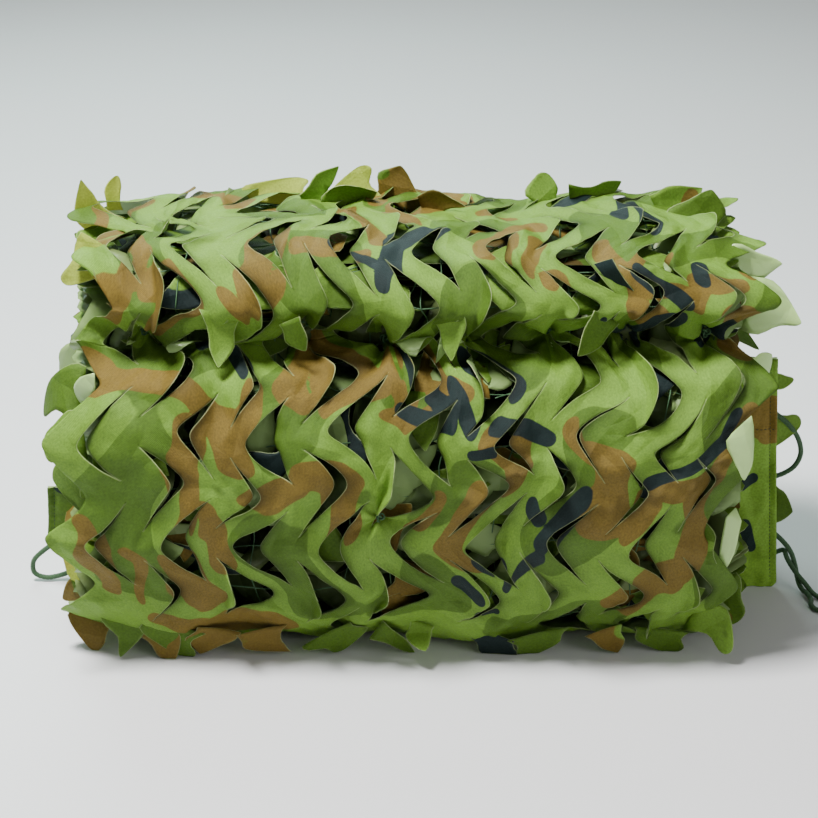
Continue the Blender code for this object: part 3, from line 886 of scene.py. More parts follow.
def wrap_points(wrap, cloth):
    """The wrap's strips of points, with the values that its materials read."""
    s = np.append(np.arange(0, wrap.length - WRAP_ROW / 2, WRAP_ROW), wrap.length)
    cuts = Cuts(41, wrap.length, wrap.last_cut, SLITS_OPEN, LEAVES_TURNED)
    usual = wrap.at(wrap.slit, s) * cloth.opening
    turn = wrap.at(wrap.turn, s) * cloth.turn
    spread = wrap.at(wrap.turn_spread, s)
    across, aside, lift, edge, shade, cut = cuts.cloth(s, WRAP_QUADS, usual, turn, spread)
    rows = np.broadcast_to(s, across.shape)
    fade = wrap.fade(rows)
    x = wrap.across(across, rows) + aside * fade
    loose = (1 + TOP_UNEVEN * ease(0, 60 * MM, wrap.lacing - rows)) * fade
    x = x + UNEVEN_ACROSS * loose * ripple(x, rows, 0.13, 3)
    along = rows + UNEVEN_ALONG * loose * ripple(x, rows, 0.12, 4)
    shift_x, shift_s, pulled = gather(wrap, x, along)
    x, along = x + shift_x, np.clip(along + shift_s, 0, wrap.length)
    tuck = END_TUCK * np.abs(2 * across / CLOTH_WIDTH) ** 8
    small = 0.6 * MM * ripple(x, rows, 0.045, 5) + 0.35 * MM * ripple(x, rows, 0.016, 6)
    filled = VALLEY_FILL * bell(rows - wrap.lacing, VALLEY_REACH)
    filled = filled * ease(-0.6, 1.2, ripple(x, 0 * x, 0.1, 77))
    off = lift + wrap.swell(x, along) + filled + (pulled - tuck + small) * fade
    return wrap.place(x, along, off), across, rows, edge, shade, cut


# ---------------- inner layers

LAYER_QUADS = 3
LAYER_ROW = 8 * MM
LAYER_SLIT = 10 * MM  # usual width of a slit
LAYER_WHOLE = 40 * MM  # length without cuts at the end
LAYER_TURN, LAYER_TURN_SPREAD = 18, 20  # how far a leaf turns out, in degrees
LAYER_FACETS, LAYER_SWING = 0.5, 0.7  # creases and zigzag of the layers beside the wrap's
FOLD_RISE, FOLD_WAVE = 2.6 * MM, 5 * MM  # how uneven the folds lie, in height and at the back
PLIES = (0.0, -9 * MM, 9 * MM)  # how far each ply of the folded cloth lies beside the first


def front_limit(wrap, height):
    """The rearmost depth of the front of the wrap within one fold of a height."""
    s = np.arange(wrap.keys[SHOULDER], wrap.length, 2 * MM)
    y, z = wrap.at(wrap.depth, s), wrap.at(wrap.height, s)
    return y[np.abs(z - height) < LAYER_PITCH].max() + FRONT_CLEAR


def fold_line(wrap):
    """Depth and height along the folded layers, from the ground up, as a line of points."""
    half = LAYER_PITCH / 2
    line = [(wrap.depth[-1], CLOTH_REST)]
    for layer in range(LAYERS + 1):
        height = CLOTH_REST + layer * LAYER_PITCH
        line.append((MID_DEPTH, height))
        if layer == LAYERS:
            line.append((front_limit(wrap, height), height))
            break
        to_back = layer % 2 == 0
        middle = height + half
        end = BACK_REACH[layer // 2] * MM - half if to_back else front_limit(wrap, middle) + half
        side = 1 if to_back else -1
        for turn in np.radians(np.arange(0, 181, 15)):
            line.append((end + side * half * math.sin(turn), middle - half * math.cos(turn)))
    return np.array(line)


def ply_line(wrap, aside):
    """The fold line moved sideways by aside, which is outwards at the folds at the back, and
    read at even steps: depth, height and the unit normal there."""
    line = fold_line(wrap)
    length = arc_keys(line)[-1]
    line = read_at(line, np.linspace(0, length, round(length / (2 * MM))))
    step = unit(np.gradient(line, axis=0))
    line = line + aside * np.stack([step[:, 1], -step[:, 0]], -1)
    if aside > 0:  # the lowest layer has no room under it
        line = line[np.argmax(line[:, 1] > aside + LAYER_PITCH / 2):]
    length = arc_keys(line)[-1]
    s = np.linspace(0, length, round(length / LAYER_ROW) + 1)
    y, z = read_at(line, s).T
    return s, y, z, *across_line(np.gradient(y), np.gradient(z))


def layer_points(wrap, cloth, ply):
    """Strips of points of one ply of the inner layers; the same cuts as in the wrap."""
    s, y, z, out_y, out_z = ply_line(wrap, PLIES[ply])
    lifted = ease(3 * MM, 12 * MM, z)
    facing = np.clip((y - 20 * MM) / (50 * MM), -0.4, 1)
    cuts = Cuts(7 + ply, s[-1], s[-1] - LAYER_WHOLE)
    across, aside, lift, edge, shade, cut = cuts.cloth(
        s, LAYER_QUADS, LAYER_SLIT * lifted * cloth.opening,
        LAYER_TURN * lifted, LAYER_TURN_SPREAD * lifted, LAYER_FACETS)
    rows = np.broadcast_to(s, across.shape)
    left = LAYER_LEFT + END_LEAN * z
    right = LAYER_RIGHT - END_LEAN * z
    short = FRONT_SHORT * np.clip((MID_DEPTH - y) / FRONT_SLOPE, 0, 1)
    beside_band = ease(12 * MM, 40 * MM, np.abs(y - 4 * MM))
    swing = WAVE_RISE * LAYER_SWING * zigzag(s) * beside_band
    x = left + short + (right - left - 2 * short) * (across / CLOTH_WIDTH + 0.5) + swing + aside
    fold = np.broadcast_to((np.round(z / LAYER_PITCH) + 3 * ply) * 0.37, x.shape)
    rise = FOLD_RISE * lifted * ripple(x, fold, 0.2, 8)
    wave = FOLD_WAVE * np.clip(y / 0.1, 0, 1) * ripple(x, fold, 0.3, 9)
    off = lift * facing * lifted
    points = np.stack(np.broadcast_arrays(
        x, y + wave + out_y * off, np.maximum(z + rise + out_z * off, 0.5 * MM)), -1)
    return points, across, rows, edge, shade, cut


INNER_PAINTED_SHADE = 0.66  # painted shade: share by which the cloth deep inside is darkened, as if in the bundle's shadow


def painted_inner_shade(points):
    """Painted shade of each point, from how deep it lies: from 0 at the back and the ends to its
    largest share behind the wrap."""
    x, y, z = points.T
    from_back = ease(-85 * MM, -45 * MM, -y)
    from_ends = ease(6 * MM, 40 * MM, np.minimum(x - LAYER_LEFT, LAYER_RIGHT - x) - END_LEAN * z)
    return INNER_PAINTED_SHADE * from_back * from_ends


# ---------------- loose leaves

# Leaves that stand away from the bundle. Root in mm, way that the leaf points as seen from
# the front (0 right, 90 up) and its lean towards the front, turn of its face about its
# length, length and width in mm, bend along it in degrees, roundness of its tip, share of
# its length over which it widens from its root, and cloth.
LOOSE_LEAVES = {
    "left": (
        # x    y    z    way  lean turn  long wide bend round root cloth
        (-246, 62, 302, 128, 0, 0, 46, 34, 10, 0.1, 0.0, "lit"),
        (-245, 90, 308, 92, 0, 0, 30, 13, 6, 1.0, 0.0, "lit"),
        (-242, -20, 322, 245, 10, 35, 42, 30, 15, 0.9, 0.0, "olive"),
        (-238, 40, 304, 205, 20, 35, 30, 30, 30, 0.7, 0.0, "light"),
        (-252, -74, 218, 172, 5, 25, 42, 38, -70, 0.95, 0.0, "mid"),
        (-240, -88, 242, 236, 12, 200, 34, 18, 50, 0.5, 0.3, "light"),
        (-250, -96, 192, 184, 8, 15, 34, 38, -25, 0.9, 0.0, "light"),
        (-250, -96, 158, 208, 5, 15, 30, 46, -30, 0.7, 0.0, "light"),
        (-262, -64, 92, 250, 0, 15, 44, 24, 15, 1.0, 0.0, "olive"),
        (-262, -66, 46, 198, 0, 10, 30, 26, -20, 0.3, 0.0, "brown"),
        (-250, -86, 34, 235, 25, 10, 36, 38, -20, 0.5, 0.0, "brown"),
        (-234, -100, 40, 278, 15, 0, 38, 32, 0, 0.1, 0.0, "mid"),
        (-208, -100, 30, 302, 20, 0, 38, 34, -10, 0.2, 0.0, "brown"),
    ),
    "right": (
        (246, -16, 302, 18, 0, 178, 36, 30, -10, 0.2, 0.0, "light"),
        (254, -20, 272, 5, 5, 176, 46, 50, -12, 0.25, 0.0, "light"),
        (250, -60, 228, 22, 10, 190, 30, 36, 45, 0.3, 0.0, "light"),
        (286, 10, 188, 0, 0, -10, 22, 13, 10, 0.7, 0.0, "light"),
        (286, 16, 152, -28, 0, -20, 32, 32, 10, 0.8, 0.0, "light"),
        (288, 17, 86, -10, 0, -10, 34, 50, 8, 0.1, 0.0, "mid"),
        (251, -114, 219, -95, 8, 188, 54, 28, 15, 0.15, 0.45, "light"),
        (246, -112, 140, -99, 5, 190, 70, 15, 10, 0.1, 0.1, "light"),
        (240, -78, 54, 302, 8, 10, 40, 38, 10, 0.9, 0.0, "mid"),
        (222, -94, 36, 340, 20, 10, 44, 34, 30, 0.9, 0.0, "light"),
        (141, -62, 322, -62, 8, 35, 70, 18, -30, 0.4, 0.0, "slate"),
    ),
    "top": (
        (-112, 88, 314, 84, -20, 0, 24, 50, -20, 0.8, 0.0, "olive"),
        (-86, 60, 322, 40, -30, 15, 40, 24, 20, 0.1, 0.0, "light"),
        (-46, 78, 314, 108, -20, -10, 32, 40, -10, 0.8, 0.0, "olive"),
        (-56, 62, 318, 70, -10, 10, 34, 36, 70, 0.8, 0.0, "light"),
        (-14, 76, 316, 60, -15, -8, 32, 44, 30, 0.3, 0.0, "brown"),
        (6, 50, 324, 18, 0, 5, 34, 26, 10, 0.05, 0.0, "brown"),
        (106, 84, 312, 60, -35, 5, 26, 34, 20, 0.5, 0.0, "light"),
        (126, 66, 322, 20, -35, 15, 50, 36, 15, 0.1, 0.0, "light"),
        (196, 56, 318, 30, -35, -5, 44, 38, 12, 0.1, 0.0, "light"),
        (218, 36, 312, 72, -25, -5, 34, 44, 12, 0.3, 0.0, "mid"),
    ),
    "lacing": (
        (-146, -76, 286, 252, 12, -18, 40, 30, 25, 0.1, 0.0, "light"),
        (-92, -80, 282, 300, 6, 25, 26, 22, 10, 0.5, 0.0, "mid"),
        (26, -76, 284, 290, 8, 20, 34, 26, 15, 0.1, 0.0, "light"),
        (142, -76, 284, 238, 10, -20, 36, 26, 20, 0.3, 0.0, "mid"),
    ),
    "bottom": (
        (-190, -106, 30, 255, 4, 0, 28, 44, -10, 0.5, 0.0, "mid"),
        (-154, -107, 28, 262, 0, 0, 28, 40, -10, 0.1, 0.0, "brown"),
        (-120, -107, 28, 284, 0, 0, 28, 42, -10, 0.1, 0.0, "brown"),
        (-70, -104, 22, 300, 0, 0, 22, 46, -10, 0.5, 0.0, "mid"),
        (-30, -104, 26, 328, 0, 5, 40, 20, -10, 0.05, 0.0, "mid"),
        (8, -108, 34, 262, 5, 20, 24, 20, 80, 0.9, 0.0, "light"),
        (60, -103, 22, 250, 0, 0, 22, 44, -10, 0.3, 0.0, "slate"),
        (100, -103, 22, 285, 0, 0, 22, 46, -10, 0.3, 0.0, "mid"),
        (150, -104, 25, 292, 0, 0, 27, 30, -10, 0.1, 0.0, "brown"),
        (196, -100, 24, 262, 0, 0, 24, 44, -10, 0.4, 0.0, "mid"),
    ),
}
LEAF_COLUMNS = 9
LEAF_ROWS = 12
LEAF_SLANT, LEAF_KNEE, LEAF_WOBBLE = 0.35, 0.22, 0.16  # how uneven the leaves are
LEAF_CUP = 0.10  # how far a leaf's edges stand out, beside its width
LEAF_PRINT = {  # mid green, brown and slate in mm, and painted glow of light from behind
    "light": (-5, -9, -14, 0.0), "mid": (7, -9, -14, 0.0), "brown": (0, 6, -14, 0.0),
    "slate": (0, -9, 4, 0.0), "lit": (0, -14, -20, 0.8), "olive": (6, -9, -20, 0.5),
}


def leaf_points(leaves, lowest=0.8 * MM):
    """Points of loose leaves, as an array of leaf, column, row and xyz. A leaf is a strip
    along an arc from its root; its half width is (1 - t^a)^b at a share t of its length,
    its edges stand out by the square of the distance from its middle, and nothing of it
    goes lower than a given height."""
    table = np.array([leaf[:11] for leaf in leaves], float)
    root, (way, lean, turn), (long, wide) = (
        table[:, :3] * MM, np.radians(table[:, 3:6]).T, (table[:, 6:8] * MM).T)
    bend, (rounded, widens) = np.radians(table[:, 8]), table[:, 9:11].T[..., None]
    wide = wide[:, None]
    forward = np.stack(
        [np.cos(way) * np.cos(lean), -np.sin(lean), np.sin(way) * np.cos(lean)], -1)
    facing = unit(np.array([0.0, -1.0, 0.0]) + forward * forward[:, 1:2])
    side = np.cross(facing, forward)
    cos, sin = np.cos(turn)[:, None], np.sin(turn)[:, None]
    side, facing = cos * side + sin * facing, cos * facing - sin * side
    share = np.sin(np.linspace(0, math.pi / 2, LEAF_ROWS))
    angle = bend[:, None] * share
    step = np.diff(share, prepend=0.0) * long[:, None]
    run = np.cumsum(np.cos(angle) * step, axis=1)[:, None, :, None]
    rise = np.cumsum(np.sin(angle) * step, axis=1)[:, None, :, None]
    narrow = np.where(widens == 0, 1, np.clip(share / np.maximum(widens, 1e-3), 0, 1))
    half = (1 - share ** (1.2 + 2.3 * rounded)) ** (0.85 - 0.35 * rounded)
    half = wide / 2 * half * narrow + 0.3 * MM
    place = np.linspace(-1, 1, LEAF_COLUMNS)[None, :, None]
    slant, knee, *wobble = (
        np.sin(97.0 * (number + 1) * root[:, 0] + 31.0 * root[:, 2] + 2.0 * number)[:, None]
        for number in range(4))
    middle = wide * (LEAF_SLANT * slant * share**2 + LEAF_KNEE * knee * (1 - np.abs(2 * share - 1)))
    sides = 1 + LEAF_WOBBLE * np.stack([np.sin(7.0 * share + 3.0 * each) for each in wobble], 1)
    sides = np.where(place < 0, sides[:, :1, :], sides[:, 1:, :])
    out = (place * half[:, None, :] * sides + middle[:, None, :])[..., None]
    cup = (LEAF_CUP * wide[..., None] * place**2 * (half / wide)[:, None, :])[..., None]
    forward, facing, side = (v[:, None, None, :] for v in (forward, facing, side))
    points = root[:, None, None, :] + run * forward + (rise + cup) * facing + out * side
    points[..., 2] = np.maximum(points[..., 2], lowest)
    q = out[..., 0] + 0.11 * np.arange(len(leaves))[:, None, None]
    s = (share * long[:, None])[:, None, :] + 0 * q
    edge = half[:, None, :] * (1 - np.abs(place)) + 0 * q
    kinds = np.repeat([leaf[11] for leaf in leaves], LEAF_COLUMNS * LEAF_ROWS)
    return points, q.ravel(), s.ravel(), edge.ravel(), kinds


# Leaves drawn by chance on the back and the ends: how many, then the ranges of their
# places (x, y and z in mm) and ways, and the turn that faces them outwards
OUTER_LEAVES = {
    "back": (30, (-262, 250), (109, 117), (34, 262), (225, 315), 180),
    "left_end": (13, (-285, -272), (-40, 96), (40, 270), (225, 315), 90),
    "right_end": (13, (266, 277), (24, 96), (40, 270), (225, 315), -90),
}
OUTER_SIZES = ((34, 54), (26, 44), (-5, 45), (0.1, 0.95))  # length, width, bend, roundness
OUTER_TURN = 16  # spread of the turn of their faces
CLOTHS = ("light", "light", "light", "mid", "mid", "brown", "brown", "slate")


def drawn_leaf(chance, spans):
    """Length, width, bend and roundness of a leaf drawn within their ranges, and its cloth."""
    return (*(chance.uniform(*span) for span in spans), 0.0, CLOTHS[chance.integers(len(CLOTHS))])


def outer_leaves():
    """Tables of leaves like LOOSE_LEAVES, drawn within OUTER_LEAVES."""
    chance = np.random.default_rng(17)
    tables = {}
    for name, (count, *spans, turn) in OUTER_LEAVES.items():
        tables[name] = table = []
        for _ in range(count):
            x, y, z, way = (chance.uniform(*span) for span in spans)
            lean_in = END_LEAN * z * (-np.sign(x) if "end" in name else 0)
            turned = turn + chance.normal(0, OUTER_TURN)
            table.append((x + lean_in, y, z, way, 0, turned, *drawn_leaf(chance, OUTER_SIZES)))
    return tables


# Leaves that fill a slit from behind: line and slit, way, turn, length, width, roundness
# of the tip and cloth
BEHIND_SLITS = (
    (8, 4, 300, 180, 56, 44, 0.8, "mid"), (8, 5, 285, 176, 66, 46, 0.4, "mid"),
    (9, 4, 300, 184, 52, 38, 0.7, "light"), (10, 5, 250, 182, 42, 40, 0.8, "light"),
    (11, 5, 60, 180, 30, 26, 1.0, "light"), (5, 4, 280, 170, 52, 30, 0.4, "mid"),
    (7, 4, 305, 186, 54, 26, 0.3, "light"), (6, 2, 310, 180, 40, 36, 0.6, "light"),
    (9, 5, 300, 180, 40, 26, 0.6, "light"), (6, 3, 280, 0, 50, 44, 0.8, "mid"),
    (10, 3, 280, 0, 44, 34, 0.1, "light"), (2, 2, 300, 0, 44, 40, 0.8, "mid"),
    (12, 4, 270, 0, 44, 34, 0.8, "mid"), (7, 5, 320, 0, 44, 40, 0.3, "mid"),
)
BEHIND_DEPTH, BEHIND_BEND = 8.5, 12  # how far behind the cloth, in mm, and bend in degrees
HIDDEN_LEAVES = 150
# Places across, behind and along the wrap in mm, ways and leans
HIDDEN_SPANS = ((-232, 226), (9, 13), (45, 550), (0, 360), (-12, 12))
HIDDEN_SIZES = ((34, 52), (26, 40), (-25, 25), (0.1, 0.9))  # length, width, bend, roundness
HIDDEN_TURN, HIDDEN_REVERSED = 14, 0.25  # spread of the turn, share that shows its reverse
# Painted shade on the leaves under the wrap, as if in its shadow.
HIDDEN_SHADE = 0.2


def hidden_leaves(wrap):
    """Leaves of the layer under the wrap, which show in its openings: drawn by chance in a
    flat space and then laid on the wrap's profile."""
    chance = np.random.default_rng(93)
    leaves = []
    for _ in range(HIDDEN_LEAVES):
        x, y, s, way, lean = (chance.uniform(*span) for span in HIDDEN_SPANS)
        turn = chance.normal(0, HIDDEN_TURN) + 180 * (chance.random() < HIDDEN_REVERSED)
        leaves.append((x, y, -s, way, lean, turn, *drawn_leaf(chance, HIDDEN_SIZES)))
    for line, number, way, turn, long, wide, rounded, cloth in BEHIND_SLITS:
        s = slit_point(line) + (number - 1) * WAVE
        x = wrap.across(line * SLIT_LINE - CLOTH_WIDTH / 2, s)
        root = (x / MM - 0.5 * long * math.cos(math.radians(way)), BEHIND_DEPTH,
                -s / MM - 0.5 * long * math.sin(math.radians(way)))
        leaves.append((*root, way, 0, turn, long, wide, BEHIND_BEND, rounded, 0.0, cloth))
    points, q, s, edge, kinds = leaf_points(leaves, -math.inf)
    along = np.clip(-points[..., 2], 10 * MM, wrap.last_cut)
    x = points[..., 0]
    placed = wrap.place(x, along, np.minimum(-points[..., 1], -7 * MM) + wrap.swell(x, along))
    return leaves, placed, q, s, edge, kinds


def leaf_print(kinds, q, s):
    """The print's distances on loose leaves, and how strongly they glow with painted light from
    behind.
    """
    values = np.array([LEAF_PRINT[kind] for kind in kinds]).T
    fields = [value + 5 * ripple(q, s, 0.05, 60 + k) for k, value in enumerate(values[:3])]
    return fields, values[3]


# ---------------- print

def capsule_field(q, s, shapes, wander=7.0):
    """Signed distance in mm, positive inside: the largest of radius minus the distance to
    each shape's line of places, on a cloth that soft noise bends by about wander mm."""
    u = q / MM + wander * ripple(q, s, 0.06, 21)
    v = s / MM + wander * ripple(q, s, 0.06, 22)
    best = np.full(q.shape, -60.0)
    for radius, *places in shapes:
        for (u0, v0), (u1, v1) in zip(places[:-1], places[1:]):
            du, dv = u1 - u0, v1 - v0
            t = np.clip(((u - u0) * du + (v - v0) * dv) / (du * du + dv * dv), 0, 1)
            best = np.maximum(best, radius - np.hypot(u - u0 - t * du, v - v0 - t * dv))
    return best


# Shapes of the wrap's print: half width, then the places that the shape runs through,
# across the cloth from its middle and along it from its free edge, in mm.
WRAP_BROWN = (
    (11, (-270, 300), (-250, 320), (-220, 330), (-190, 340), (-170, 350)),
    (12, (-160, 350), (-140, 360), (-130, 340), (-130, 330)),
    (14, (-170, 350), (-150, 370), (-140, 370)),
    (12, (-190, 370), (-190, 380), (-180, 400), (-180, 430)),
    (8, (-140, 410), (-120, 410), (-90, 410)), (14, (-80, 400), (-60, 410), (-50, 440)),
    (8, (-160, 440), (-150, 450), (-150, 470)), (14, (-190, 470), (-180, 490), (-160, 510)),
    (5, (-230, 460), (-220, 470), (-220, 500)), (6, (-260, 430), (-250, 460), (-250, 500)),
    (11, (-210, 530), (-180, 540), (-160, 550), (-120, 540)),
    (8, (-100, 290), (-100, 320), (-90, 340)), (14, (-80, 290), (-70, 320), (-50, 330), (-70, 340)),
    (8, (-40, 320), (-20, 340), (-20, 350)), (6, (-30, 360), (-10, 360)),
    (6, (-20, 310), (0, 300), (10, 320), (20, 330)), (6, (-20, 330), (-10, 360), (10, 340)),
    (7, (20, 320), (30, 330)), (11, (60, 360), (70, 370), (80, 390), (70, 410)),
    (9, (50, 410), (50, 430), (40, 460), (50, 470)), (6, (10, 440), (20, 410)),
    (9, (120, 360), (140, 380)), (17, (150, 380), (160, 390), (160, 410), (160, 430)),
    (9, (180, 440), (200, 420)), (13, (220, 410), (250, 400), (260, 390)),
    (13, (240, 420), (250, 450), (230, 470)), (11, (220, 480), (200, 490), (180, 510)),
    (6, (260, 360), (260, 350)), (5, (-270, 150), (-270, 120), (-250, 100), (-230, 70)),
    (8, (-260, 170), (-230, 200), (-240, 210)), (12, (-270, 220), (-250, 220), (-260, 240)),
    (10, (-220, 220), (-200, 220), (-200, 240), (-210, 270)), (7, (-160, 70), (-140, 80)),
    (10, (-120, 190), (-140, 210), (-140, 230), (-130, 230), (-120, 220)),
    (7, (-160, 230), (-150, 240)), (7, (-100, 200), (-80, 200), (-50, 190)),
    (12, (-50, 110), (-40, 140), (-30, 170)), (9, (-20, 40), (-20, 90)), (8, (0, 100), (0, 120)),
    (6, (60, 100), (80, 100)), (10, (60, 190), (80, 150), (100, 140)), (6, (100, 170), (90, 200)),
    (6, (110, 200), (110, 210)), (8, (150, 180), (160, 200)),
    (7, (170, 210), (190, 200), (200, 190)), (7, (170, 210), (170, 230), (190, 260)),
    (6, (180, 220), (210, 230)), (8, (230, 220), (220, 240)), (9, (240, 220), (250, 220)),
    (9, (260, 250), (260, 290)), (6, (270, 200), (270, 210)), (14, (-10, 20), (30, 60), (20, 90)),
    (13, (150, 20), (190, 40), (240, 30)), (15, (-220, 30), (-180, 60)),
)
WRAP_SLATE = (
    (7, (-10, 310), (0, 330), (20, 340)), (7, (-20, 350), (0, 350), (20, 350)),
    (7, (20, 320), (30, 340), (40, 350)), (9, (40, 300), (50, 310), (60, 320), (70, 330)),
    (6, (60, 350), (80, 360), (100, 370)), (6, (40, 370), (60, 370)),
    (9, (140, 420), (130, 440), (120, 460)), (7, (100, 430), (110, 440)),
    (4.5, (120, 470), (90, 480), (80, 490)), (7, (60, 470), (70, 470)), (8, (40, 490), (50, 500)),
    (8, (200, 400), (210, 390), (230, 380), (250, 370)), (4.5, (250, 370), (250, 350)),
    (5, (50, 520), (60, 520)), (8, (-180, 300), (-160, 300), (-140, 310)),
    (5, (-60, 190), (-40, 200)), (9, (-30, 210), (-20, 180), (10, 160)),
    (9, (-10, 170), (0, 170), (20, 160)), (9, (140, 100), (150, 80), (180, 40)),
    (7, (170, 130), (200, 100), (190, 150)), (6, (210, 40), (220, 40)),
    (6, (140, 250), (160, 280), (170, 280)), (8, (180, 210), (190, 220), (210, 240)),
    (9, (180, 280), (190, 270), (200, 260)), (6, (230, 200), (230, 220)),
    (9, (230, 290), (250, 270)), (10, (-120, 30), (-90, 50), (-70, 40)),
)


BROWN_SPREAD = 1.5  # how far the browns reach past their strokes, in mm


def wrap_print(q, s):
    """The wrap's print as three signed distances in mm: mid green, brown and slate."""
    green = 16 * (ripple(q, s, 0.11, 52) - 0.25)
    brown, slate = capsule_field(q, s, WRAP_BROWN, 5.0), capsule_field(q, s, WRAP_SLATE, 3.0)
    return green, brown + BROWN_SPREAD, slate


def print_fields(q, s, seed):
    """A print of the same kind without placed shapes, from soft noise: mid green, brown
    and slate."""
    brown = 20 * (ripple(q, s, 0.17, seed) - 0.45)
    slate = 16 * (ripple(q, s * 0.8, 0.12, seed + 1) - 1.15)
    green = 16 * (ripple(q, s, 0.11, seed + 2) - 0.1)
    return green, brown, slate


def dress_cloth(made, q, s, edge, fields, deep=0.0, thin=0.0):
    """Gives the mesh its flat places, the values of its print, its painted shade (painted
    light and pale print on the bands) and how strongly it glows with painted light from behind."""
    set_flat(made, np.stack([q, s], -1))
    for name, field in zip(("mid_green", "brown", "slate"), fields):
        set_values(made, name, field)
    set_values(made, "edge", edge / MM)
    set_values(made, "deep", deep + 0 * q)
    set_values(made, "thin", thin + 0 * q)


# ---------------- threads

def tubes(lines, radius, sides=5):
    """Round threads along many lines at once, given as an array of line, point and xyz. The
    ring at a point is the point plus radius times cos a and sin a along two directions
    across the thread."""
    count, length = lines.shape[:2]
    along = unit(np.gradient(lines, axis=1))
    guide = np.where(np.abs(along[:, :1, 2:]) > 0.8, (1.0, 0.0, 0.0), (0.0, 0.0, 1.0))
    first = unit(np.cross(along, guide))
    second = np.cross(along, first)
    angle = (np.arange(sides) / sides * 2 * math.pi)[:, None]
    ring = np.cos(angle) * first[:, :, None, :] + np.sin(angle) * second[:, :, None, :]
    points = lines[:, :, None, :] + radius * ring
    start = np.arange(count)[:, None, None] * length * sides
    row = start + np.arange(length - 1)[:, None] * sides
    j = np.arange(sides)
    k = (j + 1) % sides
    walls = np.stack([row + j, row + sides + j, row + sides + k, row + k], -1).reshape(-1, 4)
    first_cap = (start[:, 0] + j).tolist()
    last_cap = (start[:, 0] + (length - 1) * sides + j[::-1]).tolist()
    return points.reshape(-1, 3), walls.tolist() + first_cap + last_cap


STITCH_SHOWN = 0.74  # share of a stitch's pitch that lies outside the cloth
STITCH_THREAD = 0.68 * MM
SEAM_STITCHES = 3 * MM  # how far above the seam its stitches run


def stitch_row(path, pitch):
    """Stitches along a path on the front of a band: each one rises out of the cloth, runs
    along it and goes back in, by a flattened half sine."""
    start = np.arange(pitch / 2, arc_keys(path)[-1] - pitch, pitch)
    share = np.linspace(0, 1, 6)
    line = read_at(path, start[:, None] + share * pitch * STITCH_SHOWN)
    sunk = 0.5 * MM - 0.75 * MM * np.sin(math.pi * share) ** 0.7 - BAND_CLOTH / 2
    return line + sunk[None, :, None] * np.array([0.0, 1.0, 0.0])


# ---------------- border bands

BAND_PAINTED_LIGHT = {"right": 0.45, "left": 0.0}  # painted light: how much lighter than the net the bands are painted, as if lit from the front
BAND_PALE = 0.35  # and the pale places of their print lighter by this much more
BAND_ROWS = 90  # of points up each ply of a band
PUCKER = 6.8 * MM  # from one pucker along the hem to the next
BAND_PRINT = {  # half width and places (along X, height) in mm
    "right": {
        "pale": ((16, (262, 30), (284, -6)), (22, (300, 6), (330, -10))),
        "brown": ((19, (272, 162), (312, 158)), (5, (290, 140), (298, 141))),
        "slate": ((5.2, (276, 62), (286, 40)), (5, (272, 96), (281, 104))),
    },
    "left": {
        "mid_green": ((60, (-300, 40), (-300, 120)),),
        "slate": ((5, (-296, 99), (-280, 94)),),
    },
}


def band_points(inner, outer, low, high, depth, chamfer, bow):
    """Middle of a band's cloth: a U in depth and height, open at the top, carried from its
    inner to its outer edge. Soft ripples run down it, small puckers lie along its hem, and
    its two plies come together there."""
    bend = BAND_GAP / 2
    bottom = low + BAND_CLOTH / 2 + bend
    rise = np.linspace(bottom, high, BAND_ROWS)
    turn = np.radians(np.arange(15, 180, 15))
    y = np.concatenate([-bend + 0 * rise, -bend * np.cos(turn), bend + 0 * rise])
    z = np.concatenate([rise[::-1], bottom - bend * np.sin(turn), rise])
    s = arc_keys(np.stack([y, z], -1))
    side = 1 if outer > inner else -1
    cut = np.maximum(0, chamfer - (z - low)) + END_LEAN * z
    left, right = inner - side * END_LEAN * z, outer - side * cut
    x = left + (right - left) * np.linspace(0, 1, 25)[:, None]
    from_edge = np.abs(right - x)
    from_hem = from_edge - BAND_HEM
    pinch = 1 - 0.64 * bell(from_hem, 2.2 * MM)
    pucker = 0.28 * MM * np.sin(2 * math.pi * z / PUCKER) * np.exp(-np.abs(from_hem) / (5 * MM))
    wave = 0.9 * MM * ripple(x + 0.6 * z, 0.5 * z - x, 0.05, 31)
    wave = wave + 0.5 * MM * ripple(x * 1.4, z, 0.021, 32)
    seam = 0.7 * MM * ease(-1 * MM, 1 * MM, BAND_SEAM - z) * (y < 0)
    bent = bow * np.sin(math.pi * (z - low) / (high - low))
    y = depth + bend + bent + y * pinch + wave + pucker + seam
    return x[::side], y[::side], z + 0 * x, s + 0 * x, from_edge[::side]


# ---------------- support mesh and lacing

MESH_UPRIGHTS = 13
MESH_CELL = 44 * MM
MESH_STEP = 9 * MM  # between the points of a cord
MESH_DEPTH = 11 * MM  # how far the mesh lies behind the cloth
MESH_SHORT = 34 * MM  # how far it ends before the ends of the cloth
MESH_BENT = 5 * MM  # how far its cords stray
SLACK_ENDS = 70  # loose threads behind the openings
LACED = 8  # ties that the lacing runs through
LACING_PAST = (14 * MM, 12 * MM)  # how far it runs past the first and the last of them
LACING_DEPTH = 11 * MM
LACING_CORD = 1.9 * MM
KNOT = 1.25 * MM  # scale of a knot
KNOT_DEPTH = 7 * MM  # how far the cloth is drawn in at a knot


def behind_wrap(wrap, q, s, off):
    """Places behind the wrap, off its cloth by off, at q across and s along."""
    s = np.clip(s, 2 * MM, wrap.last_cut)
    x = wrap.between(q, s)
    return wrap.place(x, s, off + wrap.swell(x, s))


